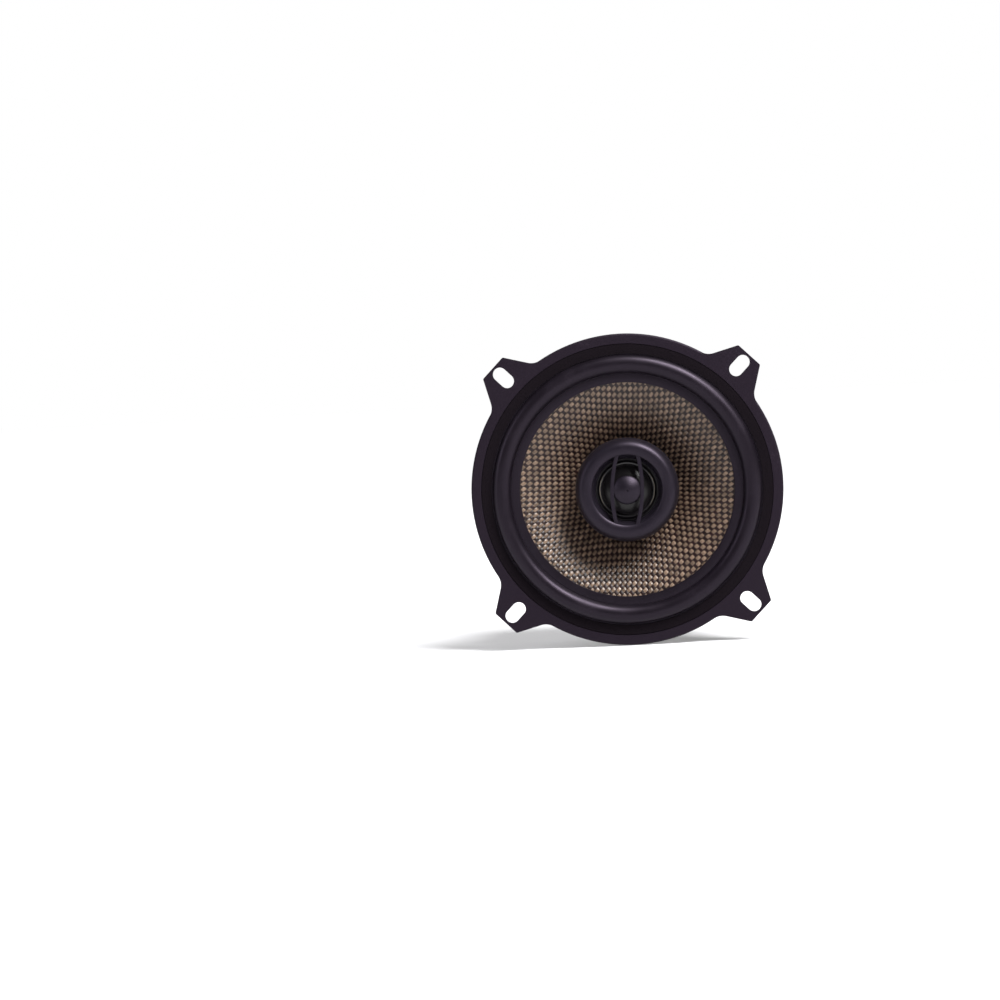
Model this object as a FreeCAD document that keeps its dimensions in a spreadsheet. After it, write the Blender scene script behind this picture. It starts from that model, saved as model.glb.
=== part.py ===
"""Coaxial car speaker: a woofer with a tweeter on a post through its magnet.

Frame: the speaker faces -Y, its magnet points to +Y and +Z is up. The origin is on the axis, in the plane
of the mounting flange's rear face. Lengths are in millimetres. In an outline, "across" is the distance from
the axis and "along" is the position on the Y axis, negative in front of the mounting plane.
"""

import FreeCAD, Part

import math
import os
import re
from collections import namedtuple

import Sketcher

Vector = FreeCAD.Vector

# ---------------------------------------------------------------------------------------------------------
# Driving sizes, each a cell of the spreadsheet
# ---------------------------------------------------------------------------------------------------------

SIZES = {
    "basket": {
        "flange_radius": 65.5,
        "flange_thickness": 3.0,
        "flange_edge": 0.8,
        "flange_face_width": 4.2,
        "ledge_depth": 1.6,
        "ledge_width": 5.0,
        "spigot_setback": 7.0,
        "spigot_length": 4.0,
        "spigot_ramp": 1.0,
        "spigot_step": 1.5,
        "bell_rear_radius": 46.0,
        "bell_least_taper": 1.0,
        "bell_bulge": 1.0,
        "bell_wall": 2.6,
        "groove_depth": 1.4,
        "groove_width": 1.8,
        "groove_front_ramp": 0.6,
        "groove_rear_ramp": 1.0,
        "shoulder_rise": 0.6,
        "shoulder_length": 8.5,
        "plate_rear": 39.5,
        "rear_plate_thickness": 2.7,
        "spider_ledge_width": 8.0,
        "tab_tip_wall": 1.0,
        "tab_side_wall": 3.15,
        "tab_flare": 5.4,
        "tab_root_rise": 1.2,
        "tab_foot_flare": 4.1,
        "tab_foot_sink": 0.1,
        "tab_fillet_height": 0.53,
        "tab_corner": 0.8,
        "slot_foot_overlap": 0.5,
        "slot_length": 10.0,
        "slot_width": 5.9,
        "window_front_margin": 3.0,
        "window_rear_margin": 4.0,
        "window_front_half_width": 27.5,
        "window_rear_half_width": 23.5,
        "window_corner": 3.0,
        "lug_tab_root_half_width": 6.0,
        "lug_tab_tip_half_width": 4.8,
        "lug_tab_length": 12.0,
        "lug_tab_corner": 1.0,
        "lug_hole_width": 4.0,
        "lug_hole_height": 3.2,
        "lug_hole_from_root": 6.4,
    },
    "suspension": {
        "rubber_thickness": 0.6,
        "roll_overhang": 0.3,
        "roll_width": 7.8,
        "roll_height": 3.75,
        "surround_rim_clearance": 0.4,
        "surround_lip_width": 3.8,
        "gasket_thickness": 0.9,
        "gasket_setback": 0.8,
        "gasket_clearance": 0.25,
        "spider_thickness": 0.5,
        "spider_rim_clearance": 0.3,
        "spider_flat_width": 0.4,
        "spider_collar_width": 2.55,
        "spider_wave_height": 0.9,
    },
    "cone": {
        "cone_thickness": 0.7,
        "cone_lip_setback": 0.2,
        "cone_lip_width": 3.2,
        "cone_depth": 20.0,
        "cone_bulge": 1.6,
        "neck_ring_width": 1.95,
        "neck_ring_length": 2.0,
        "dust_seal_thickness": 1.2,
        "dust_seal_clearance": 0.6,
    },
    "motor": {
        "pole_radius": 12.0,
        "pole_gap_inner": 0.4,
        "former_thickness": 0.25,
        "former_tail": 0.1,
        "winding_thickness": 0.65,
        "winding_length": 11.0,
        "gap_clearance": 0.55,
        "plate_setback": 2.0,
        "top_plate_thickness": 5.0,
        "magnet_radius": 40.0,
        "magnet_hole_margin": 4.15,
        "magnet_thickness": 13.0,
        "magnet_chamfer": 0.8,
        "yoke_plate_thickness": 4.0,
        "pole_setback": 1.0,
        "pole_bore_radius": 3.0,
        "nut_pocket_radius": 6.8,
        "rivet_edge_distance": 8.0,
        "rivet_hole_distance": 7.0,
        "rivet_radius": 1.9,
        "rivet_head_radius": 3.4,
        "rivet_head_height": 1.2,
    },
    "boot": {
        "boot_clearance": 0.2,
        "boot_wall": 3.2,
        "boot_rim_above_yoke": 0.35,
        "boot_lug_rise": 2.2,
        "boot_lug_angle": 48.0,
        "boot_lug_foot": 3.6,
        "boot_lug_height": 4.2,
        "boot_lug_bevel": 4.6,
        "boot_lug_overlap": 2.0,
        "boot_lug_gap": 0.15,
        "cap_thickness": 1.2,
        "cap_rim_width": 0.9,
        "cap_rim_height": 0.3,
        "cap_chamfer": 0.3,
    },
    "tweeter": {
        "bezel_radius": 21.8,
        "bezel_skirt": 3.4,
        "bezel_crest_share": 0.443,
        "bezel_crest": -8.2,
        "bezel_outer_bulge": 2.2,
        "bezel_inner_bulge": 0.55,
        "bezel_lip_width": 1.6,
        "bezel_lip": -6.4,
        "bezel_throat_clearance": 0.2,
        "bezel_skirt_wall": 1.5,
        "housing_front": -1.0,
        "housing_floor": 2.0,
        "tweeter_yoke_radius": 13.0,
        "tweeter_yoke_wall": 2.1,
        "tweeter_yoke_floor": 2.0,
        "tweeter_pole_face": 0.3,
        "tweeter_pole_clearance": 0.35,
        "tweeter_pole_thickness": 1.5,
        "tweeter_magnet_setback": 0.7,
        "tweeter_magnet_thickness": 2.5,
        "spacer_thickness": 1.9,
        "spacer_width": 1.6,
        "tweeter_coil_wall": 0.65,
        "tweeter_coil_clearance": 0.7,
        "tweeter_coil_length": 3.2,
        "dome_height": 3.0,
        "dome_thickness": 0.25,
        "dome_crown_radius": 0.4,
        "dome_rim_width": 0.7,
        "dome_roll_height": 0.75,
        "guard_rear": -6.0,
        "guard_depth": 1.4,
        "guard_bar_width": 1.6,
        "guard_bar_end_offset": 4.1,
        "guard_bar_bow": 2.2,
        "guard_bar_grip": 0.9,
        "guard_turn": 3.0,
        "plug_radius": 6.05,
        "plug_edge": 0.9,
        "plug_dome": 1.5,
        "plug_dot_radius": 0.5,
        "plug_dot_depth": 0.4,
        "post_radius": 5.0,
        "post_bore_radius": 0.8,
        "post_stud_radius": 2.5,
        "post_stud_length": 1.8,
        "nut_across_flats": 10.0,
        "nut_thickness": 1.4,
    },
    "terminals": {
        "block_length": 18.0,
        "block_rear_margin": 1.0,
        "block_depth": 3.76,
        "block_overhang": 2.5,
        "block_half_width": 13.0,
        "block_corner": 0.9,
        "block_bite": 2.0,
        "spade_thickness": 0.8,
        "spade_setback": 2.1,
        "spade_end_margin": 1.0,
        "spade_leg_margin": 7.0,
        "spade_leg_inset": 6.48,
        "positive_spade_width": 4.8,
        "negative_spade_width": 2.8,
        "positive_spade_offset": 9.0,
        "negative_spade_offset": 8.0,
        "clamp_rivet_radius": 1.4,
        "clamp_rivet_head_radius": 2.9,
        "clamp_rivet_head_height": 0.9,
        "clamp_rivet_tail": 2.2,
        "clamp_foot_inset": 4.637,
        "capacitor_radius": 3.2,
        "capacitor_length": 11.0,
        "capacitor_setback": 4.7,
        "capacitor_lead_radius": 0.35,
        "lead_radius": 0.45,
        "lead_channel_half_width": 0.9,
        "lead_bend": 1.8,
        "lead_depth": 1.2,
        "tinsel_radius": 0.5,
        "tinsel_share": 0.293,
    },
}

# Sizes that follow from the driving ones, each a cell with a formula, every one below the ones it uses.
FOLLOWING = {
    "ledge_radius": "flange_radius - flange_face_width",
    "throat_radius": "ledge_radius - ledge_width",
    "spigot_radius": "flange_radius - spigot_setback",
    "bell_foot_radius": "spigot_radius - spigot_step",
    "bell_top_radius": "min(bell_rear_radius; bell_foot_radius - bell_least_taper)",
    "bell_top": "plate_rear - shoulder_length",
    "bell_slope": "(bell_foot_radius - bell_top_radius) / (bell_top - spigot_length)",
    "groove_radius": "bell_top_radius - groove_depth",
    "shoulder_base_radius": "max(bell_top_radius; magnet_radius + boot_clearance + boot_wall)",
    "shoulder_radius": "shoulder_base_radius + shoulder_rise",
    "shoulder_rear_radius": "shoulder_base_radius - shoulder_rise",
    "spider_ledge_radius": "bell_top_radius - spider_ledge_width",
    "window_front": "spigot_length + window_front_margin",
    "window_rear": "bell_top - window_rear_margin",
    "slot_circle_radius": "flange_radius - slot_foot_overlap + slot_length / 2",
    "tab_reach": "slot_circle_radius + slot_length / 2 + tab_tip_wall",
    "tab_root_radius": "flange_radius + tab_root_rise",
    "tab_tip_half_width": "slot_width / 2 + tab_side_wall",
    "tab_root_half_width": "tab_tip_half_width + tab_flare",
    "tab_foot_half_width": "tab_root_half_width + tab_foot_flare",
    "gasket_inner_radius": "throat_radius + gasket_setback",
    "roll_outer_radius": "throat_radius + roll_overhang",
    "roll_inner_radius": "roll_outer_radius - roll_width",
    "surround_lip_radius": "roll_inner_radius - surround_lip_width",
    "cone_lip_radius": "roll_inner_radius - cone_lip_setback",
    "cone_bend_radius": "cone_lip_radius - cone_lip_width",
    "cone_neck": "ledge_depth - flange_thickness + cone_depth",
    "former_outer_radius": "pole_radius + pole_gap_inner + former_thickness",
    "neck_ring_radius": "former_outer_radius + neck_ring_width",
    "spider_wave_start_radius": "spider_ledge_radius - spider_flat_width",
    "spider_wave_end_radius": "former_outer_radius + spider_collar_width",
    "former_rear": "plate_rear + top_plate_thickness / 2 + winding_length / 2 + former_tail",
    "top_plate_radius": "magnet_radius - plate_setback",
    "magnet_hole_radius": "former_outer_radius + winding_thickness + gap_clearance + magnet_hole_margin",
    "rivet_circle_radius": "min(top_plate_radius; spider_ledge_radius) - rivet_edge_distance",
    "rear_plate_hole_radius": "rivet_circle_radius - rivet_hole_distance",
    "tweeter_gap_outer_radius": "tweeter_yoke_radius - tweeter_yoke_wall",
    "tweeter_coil_radius": "tweeter_gap_outer_radius - tweeter_coil_clearance",
    "tweeter_coil_inner_radius": "tweeter_coil_radius - tweeter_coil_wall",
    "tweeter_pole_radius": "tweeter_coil_inner_radius - tweeter_pole_clearance",
    "tweeter_magnet_radius": "tweeter_pole_radius - tweeter_magnet_setback",
    "spacer_inner_radius": "tweeter_yoke_radius - spacer_width",
    "dome_roll_outer_radius": "tweeter_yoke_radius - dome_rim_width",
    "bezel_throat_radius": "tweeter_yoke_radius + bezel_throat_clearance",
    "bezel_opening_radius": "bezel_throat_radius + bezel_lip_width",
    "bezel_crest_radius": "bezel_opening_radius + bezel_crest_share * (bezel_radius - bezel_opening_radius)",
    "guard_bar_half_length": "bezel_opening_radius + guard_bar_grip",
    "block_rear": "bell_top - block_rear_margin",
    "block_front": "block_rear - block_length",
    "block_seat_front_radius": "bell_foot_radius - bell_slope * (block_front - spigot_length) - block_bite",
    "block_seat_rear_radius": "bell_foot_radius - bell_slope * (block_rear - spigot_length) - block_bite",
    "block_reach": (
        "max(block_seat_front_radius + block_depth; shoulder_radius + 2 * capacitor_radius + block_overhang)"
    ),
    "spade_reach": "block_reach - spade_setback",
    "spade_end": "plate_rear - spade_end_margin",
    "spade_leg": "window_rear - spade_leg_margin",
    "spade_leg_inner": "bell_foot_radius - bell_slope * (spade_leg - spigot_length) - spade_leg_inset",
    "capacitor_offset": "block_reach - capacitor_setback",
    "clamp_rivet_along": "window_rear - lug_hole_from_root",
    "clamp_rivet_foot": "bell_foot_radius - bell_slope * (clamp_rivet_along - spigot_length) - clamp_foot_inset",
    "neck_ring_rear": "cone_neck + cone_thickness + neck_ring_length",
    "tinsel_end": "neck_ring_rear + tinsel_share * (bell_top - spider_thickness - neck_ring_rear)",
}

# Planes along the axis, worked out from the driving sizes, from the front to the rear.
FLANGE_FACE = "-flange_thickness"
LEDGE = "(ledge_depth - flange_thickness)"
RUBBER_FACE = f"({LEDGE} - rubber_thickness)"
SPIDER_LEDGE = "(bell_top + 0.2)"
PLATE_INSIDE = "(plate_rear - rear_plate_thickness)"
MAGNET_FRONT = "(plate_rear + top_plate_thickness)"
MAGNET_REAR = f"({MAGNET_FRONT} + magnet_thickness)"
YOKE_REAR = f"({MAGNET_REAR} + yoke_plate_thickness)"
CAP_REAR = f"({YOKE_REAR} + cap_thickness)"
GAP_MIDDLE = "(plate_rear + top_plate_thickness / 2)"
POLE_FACE = "(plate_rear - pole_setback)"
BOOT_RIM = f"({YOKE_REAR} + boot_rim_above_yoke)"
BOOT_LUG_UNDERSIDE = f"({CAP_REAR} + cap_rim_height + boot_lug_gap)"
TWEETER_POLE_REAR = "(tweeter_pole_face + tweeter_pole_thickness)"
TWEETER_MAGNET_REAR = f"({TWEETER_POLE_REAR} + tweeter_magnet_thickness)"
TWEETER_YOKE_REAR = f"({TWEETER_MAGNET_REAR} + tweeter_yoke_floor)"
HOUSING_REAR = f"({TWEETER_YOKE_REAR} + housing_floor)"
DOME_RIM = "(tweeter_pole_face - spacer_thickness)"
POST_END = f"({MAGNET_REAR} + nut_thickness)"
LEAD_TRACK = f"({YOKE_REAR} - lead_depth)"

# Radii that follow from the fits.
FORMER_INNER = "(pole_radius + pole_gap_inner)"
WINDING_OUTER = f"(former_outer_radius + winding_thickness)"
GAP_OUTER = f"({WINDING_OUTER} + gap_clearance)"
BOOT_INNER = "(magnet_radius + boot_clearance)"
BOOT_OUTER = f"({BOOT_INNER} + boot_wall)"
LEAD_CHANNEL = f"({BOOT_INNER} + 2 * lead_radius + boot_clearance)"

document = FreeCAD.newDocument("CoaxialSpeaker")
sizes = document.addObject("Spreadsheet::Sheet", "Sizes")
pieces = []


def fill_sheet():
    """Write one row per size: its group, its name and its value or formula, which gets the name as an alias."""
    rows = [(group, name, str(number)) for group, values in SIZES.items() for name, number in values.items()]
    rows += [("following", name, f"={formula}") for name, formula in FOLLOWING.items()]
    for row, (group, name, content) in enumerate(rows, start=1):
        sizes.set(f"A{row}", group)
        sizes.set(f"B{row}", name)
        sizes.set(f"C{row}", content)
        sizes.setAlias(f"C{row}", name)
    document.recompute()


# ---------------------------------------------------------------------------------------------------------
# Expressions, sketches and features
# ---------------------------------------------------------------------------------------------------------

Corner = namedtuple("Corner", "across along bulge rounding")


def at(across, along, bulge=None, rounding=None):
    """A corner of an outline.

    bulge is the height of the arc that leads to the next corner, positive to the left of the way there, and
    rounding is the radius of the corner itself.
    """
    return Corner(across, along, bulge, rounding)


def bound(expression):
    """The expression with each size's name pointed at its cell in the sheet."""
    return re.sub(r"\b[a-z]\w*\b(?!\()", r"Sizes.\g<0>", str(expression))


def value(expression):
    """The number that an expression gives now."""
    return float(sizes.evalExpression(bound(expression)))


def place(across, along, aside="0"):
    """The point with these X, Y and Z expressions."""
    return Vector(value(across), value(along), value(aside))


def new_body(name):
    """An empty body whose label is its file's name."""
    body = document.addObject("PartDesign::Body", name)
    body.Label = name
    pieces.append(body)
    return body


def origin_of(body, role):
    """The body's own origin plane or axis with this role."""
    return next(item for item in body.Origin.OriginFeatures if item.Role == role)


def new_sketch(body, name, plane, offset="0", turn=0.0):
    """A sketch on one of the body's origin planes, moved along the plane's normal and turned about it."""
    sketch = body.newObject("Sketcher::SketchObject", name)
    sketch.AttachmentSupport = [(origin_of(body, plane), "")]
    sketch.MapMode = "FlatFace"
    sketch.AttachmentOffset = FreeCAD.Placement(Vector(), FreeCAD.Rotation(Vector(0, 0, 1), turn))
    sketch.setExpression(".AttachmentOffset.Base.z", bound(offset))
    return sketch


def tie(sketch, constraint, expression):
    """Add a constraint and bind it to an expression."""
    number = sketch.addConstraint(constraint)
    sketch.setExpression(f"Constraints[{number}]", bound(expression))


def pin_down(sketch, edge, end, corner):
    """Hold an edge's end at a corner's coordinates."""
    for kind, expression in (("DistanceX", corner.across), ("DistanceY", corner.along)):
        tie(sketch, Sketcher.Constraint(kind, -1, 1, edge, end, value(expression)), expression)


def arc_radius(start, end):
    """The radius expression of the arc from one corner to the next, from its chord and its height."""
    chord_squared = f"(({end.across}) - ({start.across}))^2 + (({end.along}) - ({start.along}))^2"
    return f"({chord_squared}) / (8 * abs({start.bulge})) + abs({start.bulge}) / 2"


def round_corner(sketch, edge, end, rounding):
    """Round the corner at an edge's end, keeping the corner itself as a construction point."""
    before = sketch.GeometryCount
    sketch.fillet(edge, end, value(rounding), True, True)
    arc = next(i for i in range(before, sketch.GeometryCount) if hasattr(sketch.Geometry[i], "Radius"))
    tie(sketch, Sketcher.Constraint("Radius", arc, value(rounding)), rounding)


def draw(sketch, corners):
    """Draw a closed outline through the corners, with every corner and arc bound to the sheet."""
    points = [place(corner.across, corner.along) for corner in corners]
    edges = []
    for number, corner in enumerate(corners):
        start, end = points[number], points[(number + 1) % len(points)]
        if corner.bulge is None:
            edges.append((sketch.addGeometry(Part.LineSegment(start, end)), 1, 2))
            continue
        chord = end - start
        sideways = Vector(-chord.y, chord.x, 0).normalize()
        middle = (start + end) * 0.5 + sideways * value(corner.bulge)
        arc = sketch.addGeometry(Part.Arc(start, middle, end))
        forward = sketch.getPoint(arc, 1).distanceToPoint(start) < sketch.getPoint(arc, 2).distanceToPoint(start)
        edges.append((arc, 1, 2) if forward else (arc, 2, 1))
    for number, corner in enumerate(corners):
        previous, edge = edges[number - 1], edges[number]
        sketch.addConstraint(Sketcher.Constraint("Coincident", previous[0], previous[2], edge[0], edge[1]))
        pin_down(sketch, edge[0], edge[1], corner)
        if corner.bulge is not None:
            radius = arc_radius(corner, corners[(number + 1) % len(corners)])
            tie(sketch, Sketcher.Constraint("Radius", edge[0], value(radius)), radius)
    for corner, edge in zip(corners, edges):
        if corner.rounding is not None:
            round_corner(sketch, edge[0], edge[1], corner.rounding)


def draw_circle(sketch, across, along, radius):
    """Draw a circle whose centre and radius are bound to the sheet."""
    circle = sketch.addGeometry(Part.Circle(place(across, along), Vector(0, 0, 1), value(radius)))
    pin_down(sketch, circle, 3, at(across, along))
    tie(sketch, Sketcher.Constraint("Radius", circle, value(radius)), radius)


def draw_slot(sketch, middle, length, width):
    """Draw a slot with half-round ends, centred at a distance from the axis and running outwards."""
    reach = f"({length} - {width}) / 2"
    radius = value(f"{width} / 2")
    centres = [at(f"{middle} - {reach}", "0"), at(f"{middle} + {reach}", "0")]
    arcs = []
    for centre, first, last in zip(centres, (90, -90), (270, 90)):
        circle = Part.Circle(place(centre.across, centre.along), Vector(0, 0, 1), radius)
        arcs.append(sketch.addGeometry(Part.ArcOfCircle(circle, math.radians(first), math.radians(last))))
    inner, outer = arcs
    for (arc, end), (other, other_end) in (((inner, 2), (outer, 1)), ((outer, 2), (inner, 1))):
        line = Part.LineSegment(sketch.getPoint(arc, end), sketch.getPoint(other, other_end))
        side = sketch.addGeometry(line)
        sketch.addConstraint(Sketcher.Constraint("Tangent", arc, end, side, 1))
        sketch.addConstraint(Sketcher.Constraint("Tangent", side, 2, other, other_end))
    for arc, centre in zip(arcs, centres):
        pin_down(sketch, arc, 3, centre)
    tie(sketch, Sketcher.Constraint("Radius", inner, radius), f"{width} / 2")
    sketch.addConstraint(Sketcher.Constraint("Equal", inner, outer))


def finish_feature(body, feature):
    """Make a feature the body's result."""
    body.Tip = feature
    document.recompute()
    return feature


def turn_outline(body, name, corners, angle=None):
    """Turn an outline about the speaker's axis, all the way or through an angle centred on +X."""
    sketch = new_sketch(body, name + "_outline", "XY_Plane")
    draw(sketch, corners)
    turned = body.newObject("PartDesign::Revolution", name)
    turned.Profile = sketch
    turned.ReferenceAxis = (sketch, ["V_Axis"])
    if angle:
        turned.Midplane = True
        turned.setExpression("Angle", bound(angle))
    return finish_feature(body, turned)


def pad(body, name, sketch, length, both_sides=False):
    """Pad a sketch by a length along its normal, or by half of it each way."""
    padded = body.newObject("PartDesign::Pad", name)
    padded.Profile = sketch
    padded.Midplane = both_sides
    padded.setExpression("Length", bound(length))
    return finish_feature(body, padded)


def pocket(body, name, sketch, length=None, both_sides=False):
    """Cut a sketch along its normal, right through or by a length, half of it each way if both_sides."""
    cut = body.newObject("PartDesign::Pocket", name)
    cut.Profile = sketch
    cut.Midplane = both_sides
    cut.Reversed = not both_sides
    if length:
        cut.setExpression("Length", bound(length))
    else:
        cut.Type = "ThroughAll"
    return finish_feature(body, cut)


def around(body, name, feature, count):
    """Repeat a feature evenly about the speaker's axis."""
    pattern = body.newObject("PartDesign::PolarPattern", name)
    pattern.Originals = [feature]
    pattern.Axis = (origin_of(body, "Y_Axis"), [""])
    pattern.Angle = 360
    pattern.Occurrences = count
    return finish_feature(body, pattern)


def turned_piece(name, corners):
    """A piece that is one outline turned about the axis."""
    body = new_body(name)
    turn_outline(body, name + "_turn", corners)
    return body


def ring(name, inner, outer, front, rear, chamfer=None):
    """A plain ring between two radii and two planes, with its outer edges chamfered if asked."""
    if chamfer is None:
        return turned_piece(name, [at(inner, front), at(outer, front), at(outer, rear), at(inner, rear)])
    return turned_piece(name, [
        at(inner, front),
        at(f"{outer} - {chamfer}", front),
        at(outer, f"{front} + {chamfer}"),
        at(outer, f"{rear} - {chamfer}"),
        at(f"{outer} - {chamfer}", rear),
        at(inner, rear),
    ])


def without(name, base, tool):
    """The base piece with the tool piece's space cut out of it. It takes over the base's place in the list."""
    cut = document.addObject("Part::Cut", name)
    cut.Label = name
    cut.Base = base
    cut.Tool = tool
    pieces.remove(base)
    pieces.append(cut)
    document.recompute()
    return cut


def bent_wire(points, radius, bend=None):
    """A round wire along straight runs joined by tangent arcs.

    bend is the radius of every arc; left out, each arc is as large as its two runs allow.
    """
    curves = []
    start = points[0]
    for before, corner, after in zip(points, points[1:], points[2:]):
        back = (before - corner).normalize()
        ahead = (after - corner).normalize()
        half_opening = back.getAngle(ahead) / 2
        shorter_run = min(before.distanceToPoint(corner), after.distanceToPoint(corner))
        arc_size = bend or 0.45 * shorter_run * math.tan(half_opening)
        setback = arc_size / math.tan(half_opening)
        inward = (back + ahead).normalize()
        middle = corner + inward * (arc_size / math.sin(half_opening) - arc_size)
        curves.append(Part.LineSegment(start, corner + back * setback))
        curves.append(Part.Arc(corner + back * setback, middle, corner + ahead * setback))
        start = corner + ahead * setback
    curves.append(Part.LineSegment(start, points[-1]))
    path = Part.Wire([curve.toShape() for curve in curves])
    section = Part.Wire(Part.makeCircle(radius, points[0], points[1] - points[0]))
    return path.makePipeShell([section], True, True)


def shape_piece(name, shape):
    """A piece whose shape is made by Part's own functions."""
    piece = document.addObject("Part::Feature", name)
    piece.Label = name
    piece.Shape = shape
    pieces.append(piece)
    return piece


# ---------------------------------------------------------------------------------------------------------
# Basket
# ---------------------------------------------------------------------------------------------------------


def basket_outline():
    """The flange, the spigot that enters the panel's cut-out, the bell, the shoulder and the rear plate."""
    groove_rear = "bell_top + groove_front_ramp + groove_width"
    return [
        at("flange_radius - flange_edge", FLANGE_FACE, "-0.3 * flange_edge"),
        at("flange_radius", f"{FLANGE_FACE} + flange_edge"),
        at("flange_radius", "0"),
        at("spigot_radius", "0"),
        at("spigot_radius", "spigot_length"),
        at("bell_foot_radius", "spigot_length + spigot_ramp", "-bell_bulge"),
        at("bell_top_radius", "bell_top"),
        at("groove_radius", "bell_top + groove_front_ramp"),
        at("groove_radius", groove_rear),
        at("shoulder_radius", f"{groove_rear} + groove_rear_ramp"),
        at("shoulder_rear_radius", "plate_rear"),
        at("rear_plate_hole_radius", "plate_rear"),
        at("rear_plate_hole_radius", PLATE_INSIDE),
        at("spider_ledge_radius", PLATE_INSIDE),
        at("spider_ledge_radius", SPIDER_LEDGE),
        at("bell_top_radius - bell_wall", SPIDER_LEDGE, "bell_bulge"),
        at("bell_foot_radius - bell_wall", "spigot_length + 1.5 * spigot_ramp"),
        at("throat_radius", "spigot_length - 0.5 * spigot_ramp"),
        at("throat_radius", LEDGE),
        at("ledge_radius", LEDGE),
        at("ledge_radius", FLANGE_FACE),
    ]


def tab_outline():
    """A mounting tab that flares into the flange, drawn along +X."""
    foot = "sqrt((flange_radius - tab_foot_sink)^2 - tab_foot_half_width^2)"
    inside = "(ledge_radius + flange_radius) / 2"
    return [
        at(foot, "-tab_foot_half_width", "tab_fillet_height"),
        at("tab_root_radius", "-tab_root_half_width"),
        at("tab_reach", "-tab_tip_half_width", rounding="tab_corner"),
        at("tab_reach", "tab_tip_half_width", rounding="tab_corner"),
        at("tab_root_radius", "tab_root_half_width", "tab_fillet_height"),
        at(foot, "tab_foot_half_width"),
        at(inside, "0"),
    ]


def plain_window_outline():
    """A window between two webs of the bell, across by along, narrower towards the magnet."""
    return [
        at("-window_front_half_width", "window_front", rounding="window_corner"),
        at("window_front_half_width", "window_front", rounding="window_corner"),
        at("window_rear_half_width", "window_rear", rounding="window_corner"),
        at("-window_rear_half_width", "window_rear", rounding="window_corner"),
    ]


def lug_window_outline():
    """The same window, along by across, with a lug for a terminal block left hanging from its rear edge."""
    lug_tip = "window_rear - lug_tab_length"
    return [
        at("window_front", "window_front_half_width", rounding="window_corner"),
        at("window_front", "-window_front_half_width", rounding="window_corner"),
        at("window_rear", "-window_rear_half_width", rounding="window_corner"),
        at("window_rear", "-lug_tab_root_half_width"),
        at(lug_tip, "-lug_tab_tip_half_width", rounding="lug_tab_corner"),
        at(lug_tip, "lug_tab_tip_half_width", rounding="lug_tab_corner"),
        at("window_rear", "lug_tab_root_half_width"),
        at("window_rear", "window_rear_half_width", rounding="window_corner"),
    ]


def lug_hole_outline():
    """The rectangular hole through the lug, along by across."""
    rear = "window_rear - lug_hole_from_root + lug_hole_height / 2"
    front = "window_rear - lug_hole_from_root - lug_hole_height / 2"
    return [
        at(front, "-lug_hole_width / 2"),
        at(rear, "-lug_hole_width / 2"),
        at(rear, "lug_hole_width / 2"),
        at(front, "lug_hole_width / 2"),
    ]


def make_basket():
    """The cast basket: turned, then given four tabs, four slots, four windows and its rivet holes."""
    body = new_body("basket")
    turn_outline(body, "basket_turn", basket_outline())

    tab = new_sketch(body, "tab_sketch", "XZ_Plane", turn=45)
    draw(tab, tab_outline())
    around(body, "tabs", pad(body, "tab", tab, "flange_thickness"), 4)

    slot = new_sketch(body, "slot_sketch", "XZ_Plane", offset="-1", turn=45)
    draw_slot(slot, "slot_circle_radius", "slot_length", "slot_width")
    around(body, "slots", pocket(body, "slot", slot, "flange_thickness + 2"), 4)

    side_window = new_sketch(body, "lug_window_sketch", "YZ_Plane")
    draw(side_window, lug_window_outline())
    around(body, "lug_windows", pocket(body, "lug_window", side_window), 2)

    lug_hole = new_sketch(body, "lug_hole_sketch", "YZ_Plane")
    draw(lug_hole, lug_hole_outline())
    around(body, "lug_holes", pocket(body, "lug_hole", lug_hole), 2)

    top_window = new_sketch(body, "plain_window_sketch", "XY_Plane")
    draw(top_window, plain_window_outline())
    around(body, "plain_windows", pocket(body, "plain_window", top_window), 2)

    drill_rivet_holes(body, PLATE_INSIDE, "rear_plate_thickness")
    return body


def drill_rivet_holes(body, front, depth):
    """Four holes for the rivets that hold the basket on the top plate."""
    sketch = new_sketch(body, body.Name + "_rivet_hole_sketch", "XZ_Plane", f"-({front}) - ({depth}) - 1", 45)
    draw_circle(sketch, "rivet_circle_radius", "0", "rivet_radius")
    hole = pocket(body, body.Name + "_rivet_hole", sketch, f"{depth} + 2")
    around(body, body.Name + "_rivet_holes", hole, 4)


# ---------------------------------------------------------------------------------------------------------
# Suspension and cone
# ---------------------------------------------------------------------------------------------------------


def make_surround():
    """The rubber surround: a flat rim on the ledge, a half roll and a flat lip glued to the cone."""
    inner_foot = "roll_inner_radius + rubber_thickness"
    outer_foot = "roll_outer_radius - rubber_thickness"
    return turned_piece("surround", [
        at("ledge_radius - surround_rim_clearance", LEDGE),
        at("ledge_radius - surround_rim_clearance", RUBBER_FACE),
        at("roll_outer_radius", RUBBER_FACE, "roll_height"),
        at("roll_inner_radius", RUBBER_FACE),
        at("surround_lip_radius", RUBBER_FACE),
        at("surround_lip_radius", LEDGE),
        at(inner_foot, LEDGE),
        at(inner_foot, RUBBER_FACE, "-(roll_height - rubber_thickness)"),
        at(outer_foot, RUBBER_FACE),
        at(outer_foot, LEDGE),
    ])


def make_gasket():
    """The ring that clamps the surround's rim, just below the flange's face."""
    outer = "ledge_radius - gasket_clearance"
    return ring("front_gasket", "gasket_inner_radius", outer, f"{RUBBER_FACE} - gasket_thickness", RUBBER_FACE)


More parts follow.
